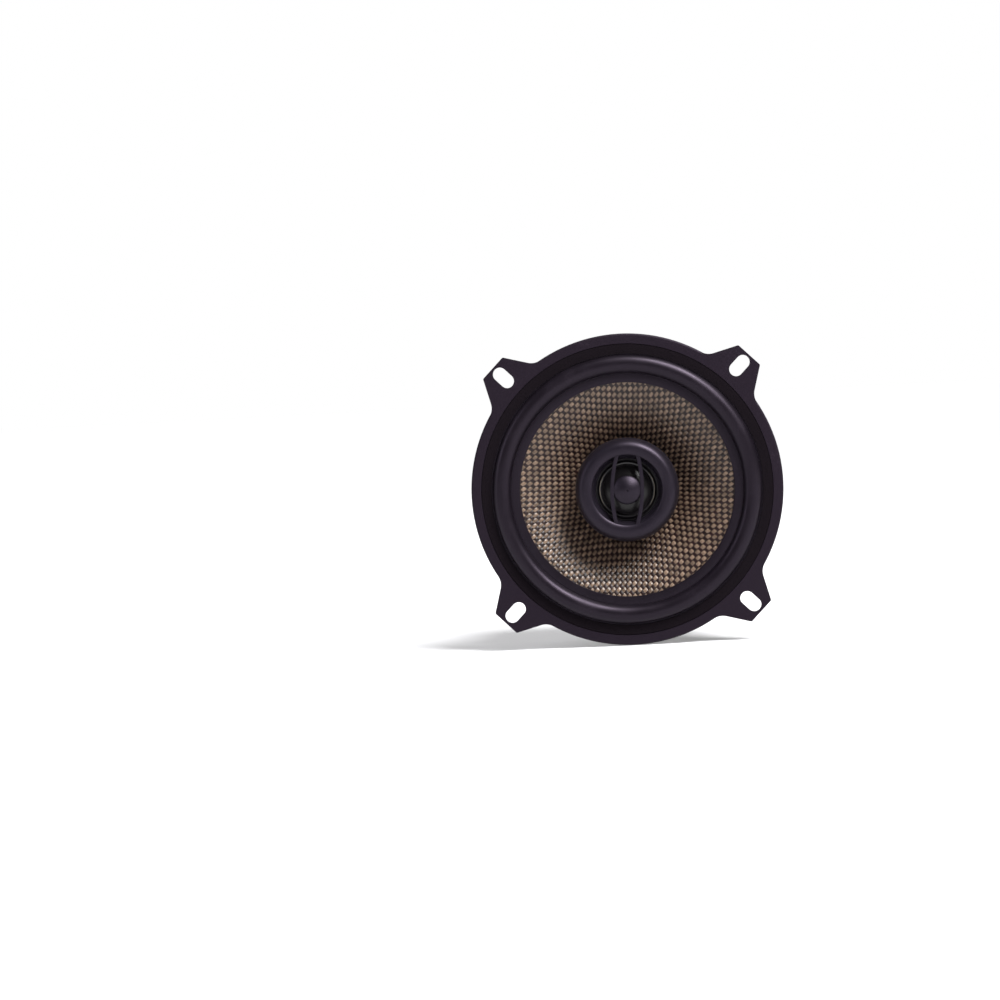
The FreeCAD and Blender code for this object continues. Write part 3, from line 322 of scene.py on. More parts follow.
def millimetres(node: str) -> tuple[Vector, Vector]:
    """Give a CAD node's lowest and highest corners, in millimetres."""
    low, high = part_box(node)
    return low / METRE, high / METRE


# ---------------------------------------------------------------------------------------------------------
# Shader building
# ---------------------------------------------------------------------------------------------------------


class ShaderGraph:
    """The nodes of one material, with short calls to add and link them."""

    def __init__(self, name: str) -> None:
        """Start a material with one Principled shader.

        Args:
            name: The material's name.
        """
        self.material = bpy.data.materials.new(name)
        self.material.use_nodes = True
        self.tree = self.material.node_tree
        self.tree.nodes.clear()
        self.shader = self.tree.nodes.new("ShaderNodeBsdfPrincipled")
        output = self.tree.nodes.new("ShaderNodeOutputMaterial")
        self.tree.links.new(self.shader.outputs["BSDF"], output.inputs["Surface"])
        self._place: dict[str, Socket] = {}

    def feed(self, socket: Socket, signal: Signal) -> None:
        """Link a signal to a socket, or set the socket's own value to it.

        Args:
            socket: The socket of a node.
            signal: Another node's socket, a number, a vector or a colour.
        """
        if isinstance(signal, Socket):
            self.tree.links.new(signal, socket)
        elif socket.type == "RGBA":
            socket.default_value = (*signal, 1.0)
        else:
            socket.default_value = signal

    def add(
        self, kind: str, settings: dict[str, Any], inputs: dict[Union[str, int], Signal]
    ) -> bpy.types.Node:
        """Add a node.

        Args:
            kind: The node's type.
            settings: Its properties, by name.
            inputs: What feeds its sockets, by name or number.

        Returns:
            The node.
        """
        node = self.tree.nodes.new(kind)
        for setting, choice in settings.items():
            setattr(node, setting, choice)
        for socket, signal in inputs.items():
            self.feed(node.inputs[socket], signal)
        return node

    def maths(self, operation: str, *signals: Signal) -> Socket:
        """Give the result of a Math node."""
        return self.add("ShaderNodeMath", {"operation": operation}, dict(enumerate(signals))).outputs[0]

    def times(self, first: Signal, second: Signal) -> Socket:
        """Multiply two signals."""
        return self.maths("MULTIPLY", first, second)

    def plus(self, first: Signal, second: Signal) -> Socket:
        """Add two signals."""
        return self.maths("ADD", first, second)

    def minus(self, first: Signal, second: Signal) -> Socket:
        """Take the second signal from the first."""
        return self.maths("SUBTRACT", first, second)

    def ripple(self, signal: Signal, pitch: float) -> Socket:
        """Give a wave from -1 to 1 that repeats once in a pitch of the signal."""
        return self.maths("SINE", self.times(signal, 2 * math.pi / pitch))

    def place(self, axis: str) -> Socket:
        """Give the Object coordinate, in millimetres.

        Args:
            axis: X, Y or Z, or XYZ for all three.

        Returns:
            The coordinate's socket.
        """
        if not self._place:
            scaling = {0: self.add("ShaderNodeTexCoord", {}, {}).outputs["Object"], "Scale": 1 / METRE}
            scaled = self.add("ShaderNodeVectorMath", {"operation": "SCALE"}, scaling).outputs[0]
            split = self.add("ShaderNodeSeparateXYZ", {}, {0: scaled})
            self._place = {"XYZ": scaled, **{name: split.outputs[name] for name in "XYZ"}}
        return self._place[axis]

    def across(self) -> Socket:
        """Give the distance from the speaker's axis, in millimetres.

        Returns:
            The distance's socket.
        """
        if "across" not in self._place:
            squares = [self.times(self.place(axis), self.place(axis)) for axis in ("X", "Z")]
            self._place["across"] = self.maths("SQRT", self.plus(*squares))
        return self._place["across"]

    def angle(self) -> Socket:
        """Give the angle round the speaker's axis, in radians.

        Returns:
            The angle's socket.
        """
        if "angle" not in self._place:
            self._place["angle"] = self.maths("ARCTAN2", self.place("Z"), self.place("X"))
        return self._place["angle"]

    def vector(self, *parts: Signal) -> Socket:
        """Join three numbers into a vector."""
        return self.add("ShaderNodeCombineXYZ", {}, dict(enumerate(parts))).outputs[0]

    def noise(self, scale: float, detail: float, at: Optional[Socket] = None) -> Socket:
        """Give a noise between about 0.25 and 0.75.

        Args:
            scale: How many features fit in a millimetre.
            detail: How many finer layers it has.
            at: The vector it reads, or the place in millimetres.

        Returns:
            The noise's socket.
        """
        vector = self.place("XYZ") if at is None else at
        inputs = {"Vector": vector, "Scale": scale, "Detail": detail, "Roughness": 0.55}
        return self.add("ShaderNodeTexNoise", {}, inputs).outputs[0]

    def streaks(self, detail: float, *parts: Signal) -> Socket:
        """Give a noise that reads a point of its own, whose three parts are counted in features."""
        return self.noise(1.0, detail, self.vector(*parts))

    def level(
        self, signal: Signal, low: float, high: float, from_low: float = 0.3, from_high: float = 0.7
    ) -> Socket:
        """Stretch a signal from one range to another, clamped."""
        inputs = {"Value": signal, "From Min": from_low, "From Max": from_high, "To Min": low, "To Max": high}
        return self.add("ShaderNodeMapRange", {}, inputs).outputs[0]

    def ramped(self, signal: Signal, from_low: float, from_high: float) -> Socket:
        """Give a smooth step from 0 to 1 between two values of a signal."""
        inputs = {"Value": signal, "From Min": from_low, "From Max": from_high, "To Min": 0.0, "To Max": 1.0}
        return self.add("ShaderNodeMapRange", {"interpolation_type": "SMOOTHSTEP"}, inputs).outputs[0]

    def mixed(self, share: Signal, first: Signal, second: Signal) -> Socket:
        """Mix two colours.

        Args:
            share: How much of the second colour shows, from 0 to 1.
            first: The colour at 0.
            second: The colour at 1.

        Returns:
            The mix's socket.
        """
        node = self.add("ShaderNodeMix", {"data_type": "RGBA"}, {0: share})
        self.feed(node.inputs[6], first)
        self.feed(node.inputs[7], second)
        return node.outputs[2]

    def bumped(self, height: Signal, depth: float, under: Optional[Socket] = None) -> Socket:
        """Turn a height signal into a normal.

        Args:
            height: The height, as a share of the depth.
            depth: What a height of 1 stands for, in millimetres.
            under: The normal below it, if there is one.

        Returns:
            The normal's socket.
        """
        inputs = {"Strength": 1.0, "Distance": depth * METRE, "Height": height}
        if under is not None:
            inputs["Normal"] = under
        return self.add("ShaderNodeBump", {}, inputs).outputs[0]

    def finish(
        self, colour: Signal, roughness: Signal, normal: Optional[Socket] = None, **uniform: Signal
    ) -> Material:
        """Feed the shader.

        Args:
            colour: The base colour.
            roughness: The roughness.
            normal: The normal, if there is a bump.
            uniform: Other sockets of the shader, with underscores for spaces, set to one value all over.

        Returns:
            The material.
        """
        self.feed(self.shader.inputs["Base Color"], colour)
        self.feed(self.shader.inputs["Roughness"], roughness)
        if normal is not None:
            self.feed(self.shader.inputs["Normal"], normal)
        for socket, signal in uniform.items():
            self.feed(self.shader.inputs[socket.replace("_", " ")], signal)
        return self.material


# ---------------------------------------------------------------------------------------------------------
# Finishes
# ---------------------------------------------------------------------------------------------------------


@dataclass(frozen=True)
class Finish(ABC):
    """A surface finish that becomes one material."""

    name: str

    @abstractmethod
    def material(self) -> Material:
        """Build the material."""


@dataclass(frozen=True)
class PowderCoat(Finish):
    """Baked powder on cast metal: fine orange peel, specks, soft cloudiness and rubbed places."""

    colour: Colour = (0.0060, 0.0036, 0.0066)
    rubbed: Colour = (0.026, 0.018, 0.029)
    roughness: float = 0.50
    grain: float = 2.6
    grain_depth: float = 0.016

    def material(self) -> Material:
        """Build the material.

        Returns:
            The material.
        """
        graph = ShaderGraph(self.name)
        peel = graph.noise(self.grain, 3.0)
        specks = graph.ramped(graph.noise(3.4, 1.0), 0.60, 0.70)
        cloud = graph.noise(0.05, 3.0)
        scuffs = graph.ramped(graph.noise(0.9, 4.0), 0.48, 0.66)
        rub = graph.times(graph.ramped(cloud, 0.50, 0.75), scuffs)
        share = graph.plus(graph.times(rub, 0.30), graph.times(specks, 0.22))
        colour = graph.mixed(share, self.colour, self.rubbed)
        broad = graph.level(cloud, self.roughness, self.roughness + 0.08)
        roughness = graph.plus(graph.level(peel, -0.05, 0.06), broad)
        normal = graph.bumped(graph.level(peel, 0.0, 1.0), self.grain_depth)
        return graph.finish(colour, roughness, normal, Specular_IOR_Level=0.20, Specular_Tint=COOL)


@dataclass(frozen=True)
class MouldedRubber(Finish):
    """Satin black rubber: a fine moulded grain, faint flow rings and a dusty bloom in patches."""

    colour: Colour = (0.0045, 0.0032, 0.0050)
    bloom: Colour = (0.016, 0.012, 0.018)
    roughness: float = 0.38
    grain: float = 4.0
    grain_depth: float = 0.006

    def material(self) -> Material:
        """Build the material.

        Returns:
            The material.
        """
        graph = ShaderGraph(self.name)
        grain = graph.noise(self.grain, 2.0)
        flow = graph.maths("SINE", graph.times(graph.across(), 7.5))
        patch = graph.noise(0.07, 4.0)
        motes = graph.ramped(graph.noise(1.7, 3.0), 0.40, 0.70)
        dust = graph.times(graph.ramped(patch, 0.48, 0.72), motes)
        colour = graph.mixed(graph.times(dust, 0.45), self.colour, self.bloom)
        broad = graph.level(patch, self.roughness - 0.04, self.roughness + 0.08)
        roughness = graph.plus(broad, graph.level(grain, -0.03, 0.03))
        height = graph.plus(graph.level(grain, 0.0, 1.0), graph.times(flow, 0.10))
        normal = graph.bumped(height, self.grain_depth)
        return graph.finish(colour, roughness, normal, Specular_IOR_Level=0.24, Specular_Tint=COOL)


@dataclass(frozen=True)
class SatinPlastic(Finish):
    """Injection-moulded plastic: a spark-eroded grain, faint flow lines and slight handling marks."""

    colour: Colour = (0.0060, 0.0048, 0.0075)
    worn: Colour = (0.018, 0.015, 0.022)
    roughness: float = 0.40
    grain_depth: float = 0.008
    shine: float = 0.26

    def material(self) -> Material:
        """Build the material.

        Returns:
            The material.
        """
        graph = ShaderGraph(self.name)
        grain = graph.noise(5.0, 2.0)
        flow = graph.noise(0.16, 3.0)
        marks = graph.ramped(graph.noise(0.8, 5.0), 0.58, 0.70)
        colour = graph.mixed(graph.times(marks, 0.25), self.colour, self.worn)
        broad = graph.level(flow, self.roughness - 0.03, self.roughness + 0.05)
        roughness = graph.plus(broad, graph.level(grain, -0.02, 0.03))
        normal = graph.bumped(graph.level(grain, 0.0, 1.0), self.grain_depth)
        return graph.finish(colour, roughness, normal, Specular_IOR_Level=self.shine, Specular_Tint=COOL)


@dataclass(frozen=True)
class Weave:
    """A plain weave of flat tows at 45 degrees, as heights over a plane and as a shader.

    With u and v the distances across the two families of tows, counted in tows, and i and j the whole tows in
    them, a tow of the first family stands (sin(pi (v + i)) + lead) * lift + (1 - (2f)^2) * crown, where f is
    how far the point lies from the tow's middle. The second family stands -sin(pi (u + j)) * lift and its own
    crown, and the higher of the two is the one that shows. The cloth was gathered as it was pressed into a
    cone, so a point at a distance r from the axis lies at gathered + stretch * r from the middle of the flat
    cloth.
    """

    pitch: float = 1.70
    lift: float = 0.11
    crown: float = 0.08
    lead: float = 0.35
    gathered: float = 7.4
    stretch: float = 0.906
    turn: float = ROLL

    def heights(self, sideways: np.ndarray, upwards: np.ndarray) -> np.ndarray:
        """Give the height of the weave.

        Args:
            sideways: X positions, in millimetres.
            upwards: Z positions, in millimetres.

        Returns:
            Heights between about -0.1 and 0.2, in millimetres.
        """
        cloth = (self.gathered / np.hypot(sideways, upwards) + self.stretch) / (math.sqrt(2) * self.pitch)
        level, rising = leaned(sideways, upwards, self.turn)
        u = (level - rising) * cloth
        v = (level + rising) * cloth
        first = (np.sin(math.pi * (v + np.floor(u))) + self.lead) * self.lift
        first += (1 - (2 * (u % 1.0) - 1) ** 2) * self.crown
        second = -np.sin(math.pi * (u + np.floor(v))) * self.lift
        second += (1 - (2 * (v % 1.0) - 1) ** 2) * self.crown
        return np.maximum(first, second)

    def tows(self, graph: ShaderGraph, wander: Signal) -> tuple[Socket, Socket]:
        """Give the distances across the two families, counted in tows.

        Args:
            graph: The material's nodes.
            wander: How far the tows stray from straight, in tows.

        Returns:
            The distance across the first family and across the second.
        """
        share = graph.plus(graph.maths("DIVIDE", self.gathered, graph.across()), self.stretch)
        cosine, sine = math.cos(math.radians(self.turn)), math.sin(math.radians(self.turn))
        scale = 1 / (math.sqrt(2) * self.pitch)
        sides = []
        for along_x, along_z in ((cosine - sine, -sine - cosine), (cosine + sine, cosine - sine)):
            from_x = graph.times(graph.place("X"), along_x * scale)
            flat = graph.plus(from_x, graph.times(graph.place("Z"), along_z * scale))
            sides.append(graph.maths("MULTIPLY_ADD", flat, share, wander))
        return sides[0], sides[1]

    def family(
        self, graph: ShaderGraph, along: Signal, over: Signal, sign: float
    ) -> tuple[Signal, Signal, Signal]:
        """Give one family's height, its wave, and how far a point lies from the middle of its tow.

        Args:
            graph: The material's nodes.
            along: The distance across this family's tows, counted in tows.
            over: The distance across the other family's tows.
            sign: 1 for the first family, -1 for the second.

        Returns:
            The height in millimetres, the wave from -1 to 1 and the offset from -1 to 1.
        """
        turn = graph.times(graph.plus(over, graph.maths("FLOOR", along)), math.pi)
        wave = graph.times(graph.maths("SINE", turn), sign)
        raised = graph.maths("MULTIPLY_ADD", wave, self.lift, self.lead * self.lift * max(sign, 0.0))
        offset = graph.maths("MULTIPLY_ADD", graph.maths("FRACT", along), 2.0, -1.0)
        round_top = graph.maths("MULTIPLY_ADD", graph.times(offset, offset), -self.crown, self.crown)
        return graph.plus(raised, round_top), wave, offset


@dataclass(frozen=True)
class WovenFibre(Finish):
    """Two-colour woven fibre: straw-coloured tows over dark ones, with single fibres, painted shade in the
    gaps, and resin.
    """

    weave: Weave = Weave()
    straw: Colour = (0.072, 0.044, 0.028)
    pale: Colour = (0.255, 0.178, 0.128)
    dark: Colour = (0.0055, 0.0022, 0.0022)
    dark_light: Colour = (0.024, 0.010, 0.009)
    # The painted shade in the gaps between the tows.
    gap_shade: Colour = (0.0015, 0.0006, 0.0006)
    fibres: float = 9.0

    def material(self) -> Material:
        """Build the material.

        Returns:
            The material.
        """
        graph = ShaderGraph(self.name)
        u, v = self.weave.tows(graph, graph.level(graph.noise(0.13, 1.0), -0.06, 0.06))
        first, wave, first_offset = self.weave.family(graph, u, v, 1.0)
        second, _, second_offset = self.weave.family(graph, v, u, -1.0)
        straw_width = graph.minus(1.0, graph.ramped(graph.maths("ABSOLUTE", first_offset), 0.72, 0.86))
        straw_shows = graph.times(graph.ramped(wave, -0.42, -0.16), straw_width)
        dark_width = graph.minus(1.0, graph.ramped(graph.maths("ABSOLUTE", second_offset), 0.55, 0.85))
        top = graph.maths("MAXIMUM", first, second)
        openness = graph.maths("MAXIMUM", straw_shows, dark_width)
        first_fibres = graph.streaks(2.0, graph.times(u, self.fibres), graph.times(v, 0.8), 3.0)
        second_fibres = graph.streaks(2.0, graph.times(v, self.fibres), graph.times(u, 0.8), 8.0)
        straw = graph.mixed(graph.level(first_fibres, 0.0, 1.0), self.straw, self.pale)
        dark = graph.mixed(graph.level(second_fibres, 0.0, 1.0), self.dark, self.dark_light)
        cloth = graph.mixed(straw_shows, dark, straw)
        tow_to_tow = graph.streaks(0.0, graph.maths("FLOOR", u), graph.maths("FLOOR", v), 0.5)
        shade = graph.level(tow_to_tow, 0.62, 1.15)
        toned = graph.add("ShaderNodeMix", {"data_type": "RGBA", "blend_type": "MULTIPLY"}, {0: 1.0})
        graph.feed(toned.inputs[6], cloth)
        graph.feed(toned.inputs[7], graph.vector(shade, shade, shade))
        # Painted shade: where no tow shows, the gap takes a near-black colour for the shadow that falls
        # there.
        colour = graph.mixed(openness, self.gap_shade, toned.outputs[2])
        roughness = graph.level(straw_shows, 0.36, 0.30, 0.0, 1.0)
        fibre_height = graph.plus(graph.times(first_fibres, straw_shows), second_fibres)
        woven = graph.bumped(top, 1.0)
        normal = graph.bumped(fibre_height, 0.03, woven)
        return graph.finish(colour, roughness, normal, Specular_IOR_Level=0.34)


@dataclass(frozen=True)
class SpunMetal(Finish):
    """Bright metal turned on a lathe: fine rings, with bright and dark sectors painted in as its highlights.
    """

    # The first colour is the painted highlight of the bright sectors; the second is their painted shade and
    # the tarnish.
    colour: Colour = (0.80, 0.81, 0.83)
    sector_shade_and_tarnish: Colour = (0.36, 0.37, 0.40)
    roughness: float = 0.27
    anisotropy: float = 0.80

    def material(self) -> Material:
        """Build the material.

        Returns:
            The material.
        """
        graph = ShaderGraph(self.name)
        across, angle = graph.across(), graph.angle()
        round_way = [graph.maths(way, angle) for way in ("COSINE", "SINE")]
        sector = graph.noise(1.7, 3.0, graph.vector(*round_way, graph.times(across, 0.004)))
        rings = graph.streaks(3.0, graph.times(across, 6.0), 0.0, graph.times(angle, 0.3))
        scratches = graph.ramped(graph.streaks(3.0, graph.times(across, 2.2), angle, 4.0), 0.62, 0.70)
        # Painted highlight: bright and dark sectors round the axis, for the light that the turning marks
        # catch.
        painted_sector_highlight = graph.level(sector, 0.0, 1.0, 0.36, 0.64)
        colour = graph.mixed(painted_sector_highlight, self.sector_shade_and_tarnish, self.colour)
        tarnish = graph.times(graph.ramped(graph.noise(0.09, 4.0), 0.55, 0.72), 0.16)
        colour = graph.mixed(tarnish, colour, self.sector_shade_and_tarnish)
        broad = graph.level(rings, self.roughness - 0.04, self.roughness + 0.08)
        roughness = graph.plus(broad, graph.times(scratches, 0.08))
        normal = graph.bumped(graph.level(rings, 0.0, 1.0), 0.004)
        tangent = graph.add("ShaderNodeTangent", {"direction_type": "RADIAL", "axis": "Y"}, {}).outputs[0]
        graph.feed(graph.shader.inputs["Tangent"], tangent)
        return graph.finish(colour, roughness, normal, Metallic=1.0, Anisotropic=self.anisotropy)


@dataclass(frozen=True)
class PlatedMetal(Finish):
    """Plated or drawn metal: a soft tint, tool marks, small pits and dulled patches."""

    colour: Colour = (0.52, 0.51, 0.50)
    dull: Colour = (0.24, 0.23, 0.22)
    roughness: float = 0.34

    def material(self) -> Material:
        """Build the material.

        Returns:
            The material.
        """
        graph = ShaderGraph(self.name)
        marks = graph.streaks(3.0, graph.times(graph.across(), 5.0), graph.place("Y"), graph.angle())
        patch = graph.noise(0.22, 4.0)
        pits = graph.ramped(graph.noise(3.0, 2.0), 0.64, 0.72)
        dulled = graph.times(graph.ramped(patch, 0.45, 0.70), 0.55)
        share = graph.plus(dulled, graph.times(pits, 0.3))
        colour = graph.mixed(share, self.colour, self.dull)
        roughness = graph.level(marks, self.roughness - 0.06, self.roughness + 0.10)
        normal = graph.bumped(graph.minus(marks, graph.times(pits, 0.5)), 0.008)
        return graph.finish(colour, roughness, normal, Metallic=1.0)


@dataclass(frozen=True)
class SinteredCeramic(Finish):
    """Ground ferrite: charcoal grey with grains, chips of lighter dust and grinding marks."""

    colour: Colour = (0.035, 0.035, 0.037)
    dust: Colour = (0.105, 0.100, 0.098)

    def material(self) -> Material:
        """Build the material.

        Returns:
            The material.
        """
        graph = ShaderGraph(self.name)
        grain = graph.noise(2.2, 5.0)
        ground = graph.streaks(2.0, graph.times(graph.place("X"), 4.0), graph.place("Y"), graph.place("Z"))
        colour = graph.mixed(graph.times(graph.ramped(grain, 0.5, 0.7), 0.5), self.colour, self.dust)
        height = graph.plus(grain, graph.times(ground, 0.5))
        return graph.finish(colour, graph.level(ground, 0.50, 0.68), graph.bumped(height, 0.03))


@dataclass(frozen=True)
class WovenCloth(Finish):
    """Stiffened cloth on a ring: threads that run round the axis and out from it, soaked in resin."""

    thread: Colour = (0.36, 0.235, 0.085)
    valley: Colour = (0.13, 0.075, 0.025)
    pitch: float = 0.55
    spokes: int = 320
    roughness: float = 0.62

    def material(self) -> Material:
        """Build the material.

        Returns:
            The material.
        """
        graph = ShaderGraph(self.name)
        spokes = graph.maths("SINE", graph.times(graph.angle(), float(self.spokes)))
        crossing = graph.times(graph.ripple(graph.across(), self.pitch), spokes)
        resin = graph.noise(0.25, 3.0)
        height = graph.maths("MULTIPLY_ADD", crossing, 0.5, 0.5)
        share = graph.times(height, graph.level(resin, 0.7, 1.0))
        colour = graph.mixed(share, self.valley, self.thread)
        roughness = graph.level(resin, self.roughness - 0.12, self.roughness + 0.1)
        return graph.finish(colour, roughness, graph.bumped(height, 0.12))


@dataclass(frozen=True)
class DomeSilk(Finish):
    """Doped fabric of a small dome: a fine square weave under a glossy, cloudy coating."""

    colour: Colour = (0.004, 0.0035, 0.004)
    coating: Colour = (0.012, 0.010, 0.011)
    thread: float = 0.22

    def material(self) -> Material:
        """Build the material.

        Returns:
            The material.
        """
        graph = ShaderGraph(self.name)
        turns = [graph.ripple(graph.place(axis), self.thread) for axis in ("X", "Z")]
        weave = graph.maths("MULTIPLY_ADD", graph.times(*turns), 0.5, 0.5)
        cloud = graph.noise(0.12, 2.0)
        colour = graph.mixed(graph.times(graph.level(cloud, 0.6, 1.0), weave), self.colour, self.coating)
        normal = graph.bumped(weave, 0.004)
        return graph.finish(colour, graph.level(cloud, 0.27, 0.31), normal, Specular_IOR_Level=0.3)


@dataclass(frozen=True)
class RolledEdge(Finish):
    """The small dome's edge: dark film, with a pale line painted on its roll as a highlight at its sides."""

    colour: Colour = (0.006, 0.005, 0.006)
    # The pale line is a painted highlight, where the roll catches the light.
    glue: Colour = (0.20, 0.175, 0.14)
    line_inner: float = 11.35
    line_outer: float = 11.62

    def material(self) -> Material:
        """Build the material.

        Returns:
            The material.
        """
        graph = ShaderGraph(self.name)
        ragged = graph.plus(graph.across(), graph.level(graph.noise(1.2, 3.0), -0.08, 0.08))
        inside = graph.ramped(ragged, self.line_inner - 0.08, self.line_inner + 0.08)
        outside = graph.ramped(ragged, self.line_outer - 0.08, self.line_outer + 0.08)
        line = graph.minus(inside, outside)
        # Painted highlight: the line shows only at the sides; above and below it stays dark, as if in shade.
        beside = graph.maths("DIVIDE", graph.maths("ABSOLUTE", graph.place("X")), graph.across())
        painted_side_highlight = graph.times(line, graph.ramped(beside, 0.72, 0.98))
        colour = graph.mixed(painted_side_highlight, self.colour, self.glue)
        return graph.finish(colour, graph.level(line, 0.30, 0.45, 0.0, 1.0), graph.bumped(line, 0.05))


@dataclass(frozen=True)
class FinePattern(Finish):
    """A two-colour surface of threads, turns or cells on a fixed pitch, for the small inner parts."""

    colour: Colour = (0.30, 0.10, 0.04)
    second: Colour = (0.10, 0.03, 0.012)
    pitch: float = 0.30
    axis: str = "Y"
    metallic: float = 0.0
    roughness: float = 0.45
    depth: float = 0.05

    def material(self) -> Material:
        """Build the material.

        Returns:
            The material.
        """
        graph = ShaderGraph(self.name)
        place = graph.across() if self.axis == "across" else graph.place(self.axis)
        height = graph.maths("MULTIPLY_ADD", graph.ripple(place, self.pitch), 0.5, 0.5)
        mottle = graph.noise(0.9, 4.0)
        share = graph.times(height, graph.level(mottle, 0.55, 1.0))
        colour = graph.mixed(share, self.second, self.colour)
        roughness = graph.level(mottle, self.roughness - 0.07, self.roughness + 0.09)
        return graph.finish(colour, roughness, graph.bumped(height, self.depth), Metallic=self.metallic)


@dataclass(frozen=True)
class FoamCell(Finish):
    """Matt cellular or felted stuff: irregular pores over a darker ground."""

    colour: Colour = (0.0060, 0.0040, 0.0058)
    pore: Colour = (0.0015, 0.0010, 0.0015)
    cells: float = 1.9
    depth: float = 0.07

    def material(self) -> Material:
        """Build the material.

        Returns:
            The material.
        """
        graph = ShaderGraph(self.name)
        inputs = {"Vector": graph.place("XYZ"), "Scale": self.cells}
        distance = graph.add("ShaderNodeTexVoronoi", {}, inputs).outputs["Distance"]
        fuzz = graph.noise(3.5, 3.0)
        height = graph.plus(graph.ramped(distance, 0.05, 0.45), graph.times(fuzz, 0.4))
        colour = graph.mixed(graph.ramped(distance, 0.05, 0.40), self.pore, self.colour)
        normal = graph.bumped(height, self.depth)
        return graph.finish(colour, graph.level(fuzz, 0.78, 0.95), normal, Specular_IOR_Level=0.05)


@dataclass(frozen=True)
class SleevedCan(Finish):
    """The shrink sleeve on a small capacitor: glossy and wrinkled, with one pale band along it."""

    colour: Colour = (0.012, 0.014, 0.035)
    band: Colour = (0.42, 0.43, 0.45)
    half_band: float = 0.55

    def material(self) -> Material:
        """Build the material.

        Returns:
            The material.
        """
        graph = ShaderGraph(self.name)
        low, high = millimetres("crossover_capacitor")
        side = graph.maths("ABSOLUTE", graph.minus(graph.place("Y"), (low.y + high.y) / 2))
        edge = graph.plus(side, graph.level(graph.noise(1.5, 2.0), -0.03, 0.03))
        band = graph.minus(1.0, graph.ramped(edge, self.half_band - 0.04, self.half_band + 0.04))
        wrinkle = graph.streaks(3.0, graph.place("X"), graph.place("Y"), graph.times(graph.place("Z"), 3.0))
        colour = graph.mixed(graph.times(band, 0.8), self.colour, self.band)
        normal = graph.bumped(wrinkle, 0.03)
        return graph.finish(colour, graph.level(wrinkle, 0.16, 0.30), normal, Coat_Weight=0.4)


@dataclass(frozen=True)
class PaleFloor(Finish):
    """The studio floor: plain and pale, with the faintest unevenness."""

    colour: Colour = (0.56, 0.56, 0.57)
    glow: float = 0.26

    def material(self) -> Material:
        """Build the material, lit a little from within so that it stays pale far away.

        Returns:
            The material.
        """
        graph = ShaderGraph(self.name)
        soft = graph.noise(0.002, 2.0)
        uniform = {"Specular_IOR_Level": 0.0, "Emission_Color": WHITE, "Emission_Strength": self.glow}
        return graph.finish(self.colour, graph.level(soft, 0.85, 0.95), **uniform)


@dataclass(frozen=True)
class Finishes:
    """Every finish of the speaker."""

    coat: Finish = PowderCoat("powder_coat")
    rubber: Finish = MouldedRubber("surround_rubber")
    boot: Finish = MouldedRubber(
        "boot_rubber", colour=(0.0085, 0.0065, 0.0098), bloom=(0.030, 0.024, 0.034),
        roughness=0.44, grain=2.4, grain_depth=0.012,
    )
    fibre: Finish = WovenFibre("woven_fibre")
    plastic: Finish = SatinPlastic("tweeter_plastic")
    # Painted shade: a near-black, rough plastic that stands in for the shade deep in the tweeter's throat.
    shade: Finish = SatinPlastic(
        "throat_painted_shade", colour=(0.003, 0.0025, 0.003), worn=(0.006, 0.005, 0.006), roughness=0.6, shine=0.15
    )
    block: Finish = SatinPlastic(
        "block_plastic", colour=(0.013, 0.012, 0.014), worn=(0.040, 0.038, 0.042), roughness=0.48,
        grain_depth=0.014,
    )
    glue: Finish = SatinPlastic(
        "neck_glue", colour=(0.020, 0.018, 0.020), worn=(0.06, 0.055, 0.05), roughness=0.28, grain_depth=0.05
    )
    spun: Finish = SpunMetal("spun_aluminium")
    steel: Finish = PlatedMetal("plated_steel")
    brass: Finish = PlatedMetal(
        "terminal_brass", colour=(0.78, 0.60, 0.30), dull=(0.46, 0.32, 0.13), roughness=0.26
    )
    nickel: Finish = PlatedMetal(
        "magnet_nickel", colour=(0.66, 0.64, 0.60), dull=(0.40, 0.38, 0.35), roughness=0.22
    )
    ferrite: Finish = SinteredCeramic("ferrite")
    cloth: Finish = WovenCloth("spider_cloth")
    silk: Finish = DomeSilk("dome_silk")
    edge: Finish = RolledEdge("dome_edge")
    foam: Finish = FoamCell("gasket_foam")
    felt: Finish = FoamCell(
        "dust_felt", colour=(0.030, 0.028, 0.030), pore=(0.010, 0.009, 0.010), cells=3.5, depth=0.05
    )
    former: Finish = FinePattern(
        "former_film", colour=(0.42, 0.22, 0.05), second=(0.33, 0.16, 0.035), pitch=1.6, roughness=0.25,
        depth=0.004,
    )
    winding: Finish = FinePattern(
        "coil_wire", colour=(0.62, 0.25, 0.11), second=(0.22, 0.07, 0.03), pitch=0.32, metallic=1.0,
        roughness=0.30, depth=0.06,
    )
    lead: Finish = FinePattern(
        "lead_insulation", colour=(0.035, 0.033, 0.036), second=(0.022, 0.020, 0.023), pitch=1.1,
        roughness=0.42, depth=0.006,
    )
    braid: Finish = FinePattern(
        "tinsel_braid", colour=(0.60, 0.42, 0.24), second=(0.20, 0.11, 0.06), pitch=0.42, axis="X",
        metallic=0.7, roughness=0.42, depth=0.08,
    )
    sleeve: Finish = SleevedCan("capacitor_sleeve")
    floor: Finish = PaleFloor("pale_floor")


